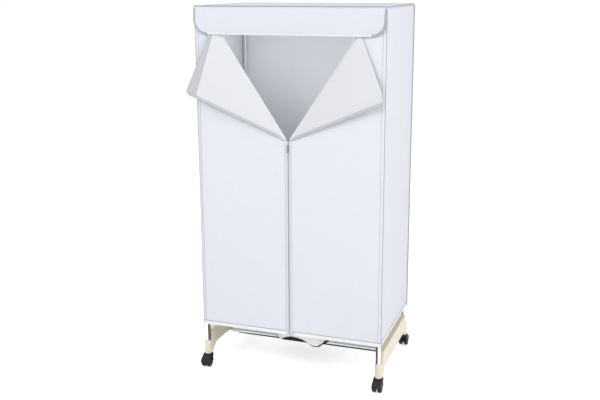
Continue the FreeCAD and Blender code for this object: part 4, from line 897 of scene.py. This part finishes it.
valanceValues = {
    "corner": 0.055,        # radius of the lower corners
    "hang": 0.0039,         # forward curve between its edges
    "flare": 0.006,         # its lower edge stands out this far
    "ripple": 0.0012,
    "step": 0.014,
    "rows": 12,
    "borderWidth": 0.0075,
    "borderOverlap": 0.0004,
    "borderThickness": 0.0019,
    "borderStart": 0.007,   # border begins this far below the top
    "borderStep": 0.01,
    "cordRadius": 0.0024,
}
valanceHalf = valanceHigh.x
valanceBack = valanceHigh.y - cloth / 2
valanceTop = valanceHigh.z
valanceDrop = valanceHigh.z - valanceLow.z


def valanceY(x, z):
    share = (valanceTop - z) / valanceDrop
    wave = valanceValues["ripple"] * (ripples(x, z * 0, 41) - 0.5) * share * share
    curve = valanceValues["hang"] * 4 * share * (1 - share)
    return valanceBack - valanceValues["flare"] * share - curve - np.minimum(wave, 0)


turn = np.linspace(0, math.pi / 2, 13)
cornerX = valanceHalf - valanceValues["corner"] * (1 - np.sin(turn))
straight = spaced(-cornerX[0], cornerX[0], valanceValues["step"])
edgeX = np.concatenate([-cornerX[::-1], straight[1:-1], cornerX])
past = np.clip(np.abs(edgeX) - cornerX[0], 0, valanceValues["corner"])
edgeZ = valanceLow.z + valanceValues["corner"] - np.sqrt(valanceValues["corner"] ** 2 - past ** 2)
share = np.linspace(0, 1, valanceValues["rows"])
gridX = np.repeat(edgeX[None, :], len(share), axis=0)
gridZ = edgeZ[None, :] + (valanceTop - edgeZ)[None, :] * share[:, None]
valanceCloth = addSheet("valanceCloth", np.stack([gridX, valanceY(gridX, gridZ), gridZ], axis=2),
                        np.stack([gridX, gridZ], axis=2), [valanceFabric, insideLining])
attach(valanceCloth, "valance")
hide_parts("valance")
sideZ = spaced(valanceTop - valanceValues["borderStart"], edgeZ[0], valanceValues["borderStep"])[:-1]
path = np.stack([np.concatenate([np.full(len(sideZ), -valanceHalf), edgeX, np.full(len(sideZ), valanceHalf)]),
                 np.concatenate([sideZ, edgeZ, sideZ[::-1]])], axis=1)
heading = np.gradient(path, axis=0)
heading /= np.linalg.norm(heading, axis=1, keepdims=True)
inward = np.stack([-heading[:, 1], heading[:, 0]], axis=1)
offsets = np.linspace(-valanceValues["borderOverlap"], valanceValues["borderWidth"], 4)
border = np.array([path + inward * offset for offset in offsets])
borderGrid = np.stack([border[:, :, 0], valanceY(border[:, :, 0], border[:, :, 1]), border[:, :, 1]], axis=2)
bottomEdge = np.abs(path[:-1, 0] + path[1:, 0]) / 2 < cornerX[0]
borderZone = np.tile(np.where(bottomEdge, 2, 0), (len(border) - 1, 1))
valanceBorder = addSheet("valanceBorder", borderGrid, border, [borderTape, borderTape, paleBorder],
                         zone=borderZone, thickness=valanceValues["borderThickness"])
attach(valanceBorder, "valance")
hinge = joints["valance_lift"]["pos_m"]
foldX = np.linspace(-valanceHalf, valanceHalf, 25)
foldLine = np.column_stack([foldX, np.full(len(foldX), hinge[1]), np.full(len(foldX), hinge[2])])
valancePiping = addCord("valancePiping", [foldLine], valanceValues["cordRadius"], borderTape)
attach(valancePiping, "valance")
print("valance hung")


# floor panel round the heater

floorValues = {
    "notch": 0.0112,        # radius round a post
    "notchSteps": 6,
    "edgeStep": 0.03,
    "heaterCorner": 0.043,
    "heaterGap": 0.001,
    "rings": 10,
    "sag": 0.003,
}
heaterLow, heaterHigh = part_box("heater_shell")
heaterHalfX = heaterHigh.x + floorValues["heaterGap"]
heaterHalfY = -heaterLow.y + floorValues["heaterGap"]


def floorEdge(side):
    # outer edge, one side of the panel at a time, with a notch round the post that ends it
    wide, deep = halfWidth - cloth, halfDepth - cloth
    notch = floorValues["notch"]
    post = (postY, postX)[side % 2]
    other = (postX, postY)[side % 2]
    level = (wide, deep)[side % 2]
    points = [(level, place) for place in spaced(-post + notch, post - notch, floorValues["edgeStep"])]
    for step in range(1, floorValues["notchSteps"]):
        angle = -math.pi / 2 - step / floorValues["notchSteps"] * math.pi / 2
        points.append((other + notch * math.cos(angle), post + notch * math.sin(angle)))
    return points


def quarterTurned(points, side):
    turned = []
    for x, y in points:
        for _ in range(side):
            x, y = -y, x
        turned.append((x, y))
    return turned


outer = [point for side in range(4) for point in quarterTurned(floorEdge(side), side)]
outer = np.array(outer)
angles = np.arctan2(outer[:, 1] / halfDepth, outer[:, 0] / halfWidth)


def roundedReach(angle, wide, deep, radius):
    # where a ray from the middle, drawn in the cover's proportions, meets the heater's rounded outline
    ray = np.array([math.cos(angle) * halfWidth, math.sin(angle) * halfDepth])
    low, high = 0.0, 2.0
    for _ in range(40):
        middle = (low + high) / 2
        beyond = np.abs(ray * middle) - np.array([wide - radius, deep - radius])
        inside = np.linalg.norm(np.maximum(beyond, 0)) <= radius and beyond.max() <= radius
        low, high = (middle, high) if inside else (low, middle)
    return ray * low


heaterCorner = floorValues["heaterCorner"]
inner = np.array([roundedReach(angle, heaterHalfX, heaterHalfY, heaterCorner) for angle in angles])
rings = []
for share in np.linspace(0, 1, floorValues["rings"]):
    plan = inner + (outer - inner) * share
    drop = floorValues["sag"] * math.sin(share * math.pi)
    rings.append(np.column_stack([plan, np.full(len(plan), floorZ + cloth / 2 - drop)]))
floorGrid = np.array(rings)
floorCloth = addSheet("floorCloth", floorGrid, floorGrid[:, :, :2], [insideLining, coverFabric], closed=True)
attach(floorCloth, "cabinet")
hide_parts("cover_floor")
print("floor panel laid")


# camera

cameraValues = {
    "place": (1.07743, -3.19525, 1.54646),
    "yaw": -0.3349, "pitch": -0.2267, "roll": -0.0041,
    "focalPixels": 846.5, "imageWidth": 600, "centreRow": 180, "imageHeight": 400,
    "sensorWidth": 36,
}
camera = bpy.data.objects.new("camera", bpy.data.cameras.new("camera"))
scene.collection.objects.link(camera)
yaw, pitch, roll = (cameraValues[key] for key in ("yaw", "pitch", "roll"))
ahead = Vector((math.sin(yaw) * math.cos(pitch), math.cos(yaw) * math.cos(pitch), math.sin(pitch)))
right = Vector((math.cos(yaw), -math.sin(yaw), 0))
above = right.cross(ahead)
rolledRight = math.cos(roll) * right + math.sin(roll) * above
rolledAbove = math.cos(roll) * above - math.sin(roll) * right
turned = Matrix((rolledRight, rolledAbove, -ahead)).transposed()
camera.matrix_world = Matrix.Translation(cameraValues["place"]) @ turned.to_4x4()
camera.data.sensor_width = cameraValues["sensorWidth"]
camera.data.lens = cameraValues["focalPixels"] / cameraValues["imageWidth"] * camera.data.sensor_width
rowsBelow = cameraValues["centreRow"] - cameraValues["imageHeight"] / 2
camera.data.shift_y = rowsBelow / cameraValues["imageWidth"]
scene.camera = camera

# floor, world and lamps

lightValues = {"ambient": 0.55, "floorGlow": 0.55, "floorSpan": 30}
lampValues = {
    # place, aim, size and power
    "insideLampLeft": ((-0.19, -0.13, 1.3), (-0.19, 0.235, 1.15), 0.22, 0.45),
    "insideLampRight": ((0.19, -0.13, 1.3), (0.19, 0.235, 1.15), 0.22, 0.45),
    "backLamp": ((-2.2, 3.6, 3.2), (0, 0, 0.8), 2.4, 45),
    "lowLamp": ((0.02, -0.225, 0.03), (0.01, -0.11, 0.12), 0.2, 0.1),
    "keyLamp": ((-1.4, -3.9, 3.4), (0, 0, 0.8), 2.4, 80),
    "sideLamp": ((3.9, -1.6, 2.2), (0.2, 0, 0.8), 2.4, 75),
}
# painted shade: size and place of the dark card that the chrome reflects in place of the shaded floor under
# the cabinet
shadeCardValues = {"halfWidth": 0.33, "front": -0.75, "back": 0.3, "height": 0.002}


def seenRays(tree):
    # 1 where the camera, a reflection or a view through glass looks, 0 for light on the cabinet
    ray = tree.nodes.new("ShaderNodeLightPath")
    seen = mathNode(tree, "MAXIMUM", ray.outputs["Is Camera Ray"], ray.outputs["Is Glossy Ray"])
    return mathNode(tree, "MAXIMUM", seen, ray.outputs["Is Transmission Ray"])


def addCard(name, low, high, height, material):
    # level rectangle between two corners
    plan = ((low[0], low[1]), (high[0], low[1]), (high[0], high[1]), (low[0], high[1]))
    return addPiece(name, [(x, y, height) for x, y in plan], [[0, 1, 2, 3]], [material], smooth=False)


def addLamp(name, place, aim, size, power):
    lamp = bpy.data.lights.new(name, "AREA")
    lamp.shape = "SQUARE"
    lamp.size = size
    lamp.energy = power
    holder = bpy.data.objects.new(name, lamp)
    scene.collection.objects.link(holder)
    holder.location = place
    holder.rotation_euler = (Vector(aim) - Vector(place)).to_track_quat("-Z", "Y").to_euler()


world = bpy.data.worlds.new("studio")
scene.world = world
world.use_nodes = True
tree = world.node_tree
background = tree.nodes["Background"]
strength = mathNode(tree, "MULTIPLY_ADD", seenRays(tree), 1 - lightValues["ambient"], lightValues["ambient"])
tree.links.new(strength, background.inputs["Strength"])
background.inputs["Color"].default_value = (1, 1, 1, 1)

floorMaterial, tree, shader = newMaterial("studioFloor")
shader.inputs["Base Color"].default_value = (0.85, 0.85, 0.85, 1)
shader.inputs["Roughness"].default_value = 0.9
shader.inputs["Specular IOR Level"].default_value = 0
shader.inputs["Emission Color"].default_value = (1, 1, 1, 1)
glow = mathNode(tree, "MULTIPLY", seenRays(tree), lightValues["floorGlow"])
tree.links.new(glow, shader.inputs["Emission Strength"])
floorSpan = lightValues["floorSpan"]
studioFloor = addCard("studioFloor", (-floorSpan, -floorSpan), (floorSpan, floorSpan), 0, floorMaterial)

# painted shade: a dark card under the cabinet, seen only in the chrome's reflections, stands in for the
# shaded floor there
shadeCardMaterial, _, shader = newMaterial("shadeCardBlack")
shader.inputs["Base Color"].default_value = (0.01, 0.01, 0.01, 1)
flag = addCard("flag", (-shadeCardValues["halfWidth"], shadeCardValues["front"]),
               (shadeCardValues["halfWidth"], shadeCardValues["back"]), shadeCardValues["height"], shadeCardMaterial)
flag.visible_camera = flag.visible_diffuse = flag.visible_shadow = flag.visible_transmission = False
for name, values in lampValues.items():
    addLamp(name, *values)
for name in ("insideLampLeft", "insideLampRight", "lowLamp"):
    bpy.data.objects[name].visible_camera = bpy.data.objects[name].visible_glossy = False
scene.view_settings.view_transform = "Standard"
print("camera and light set")
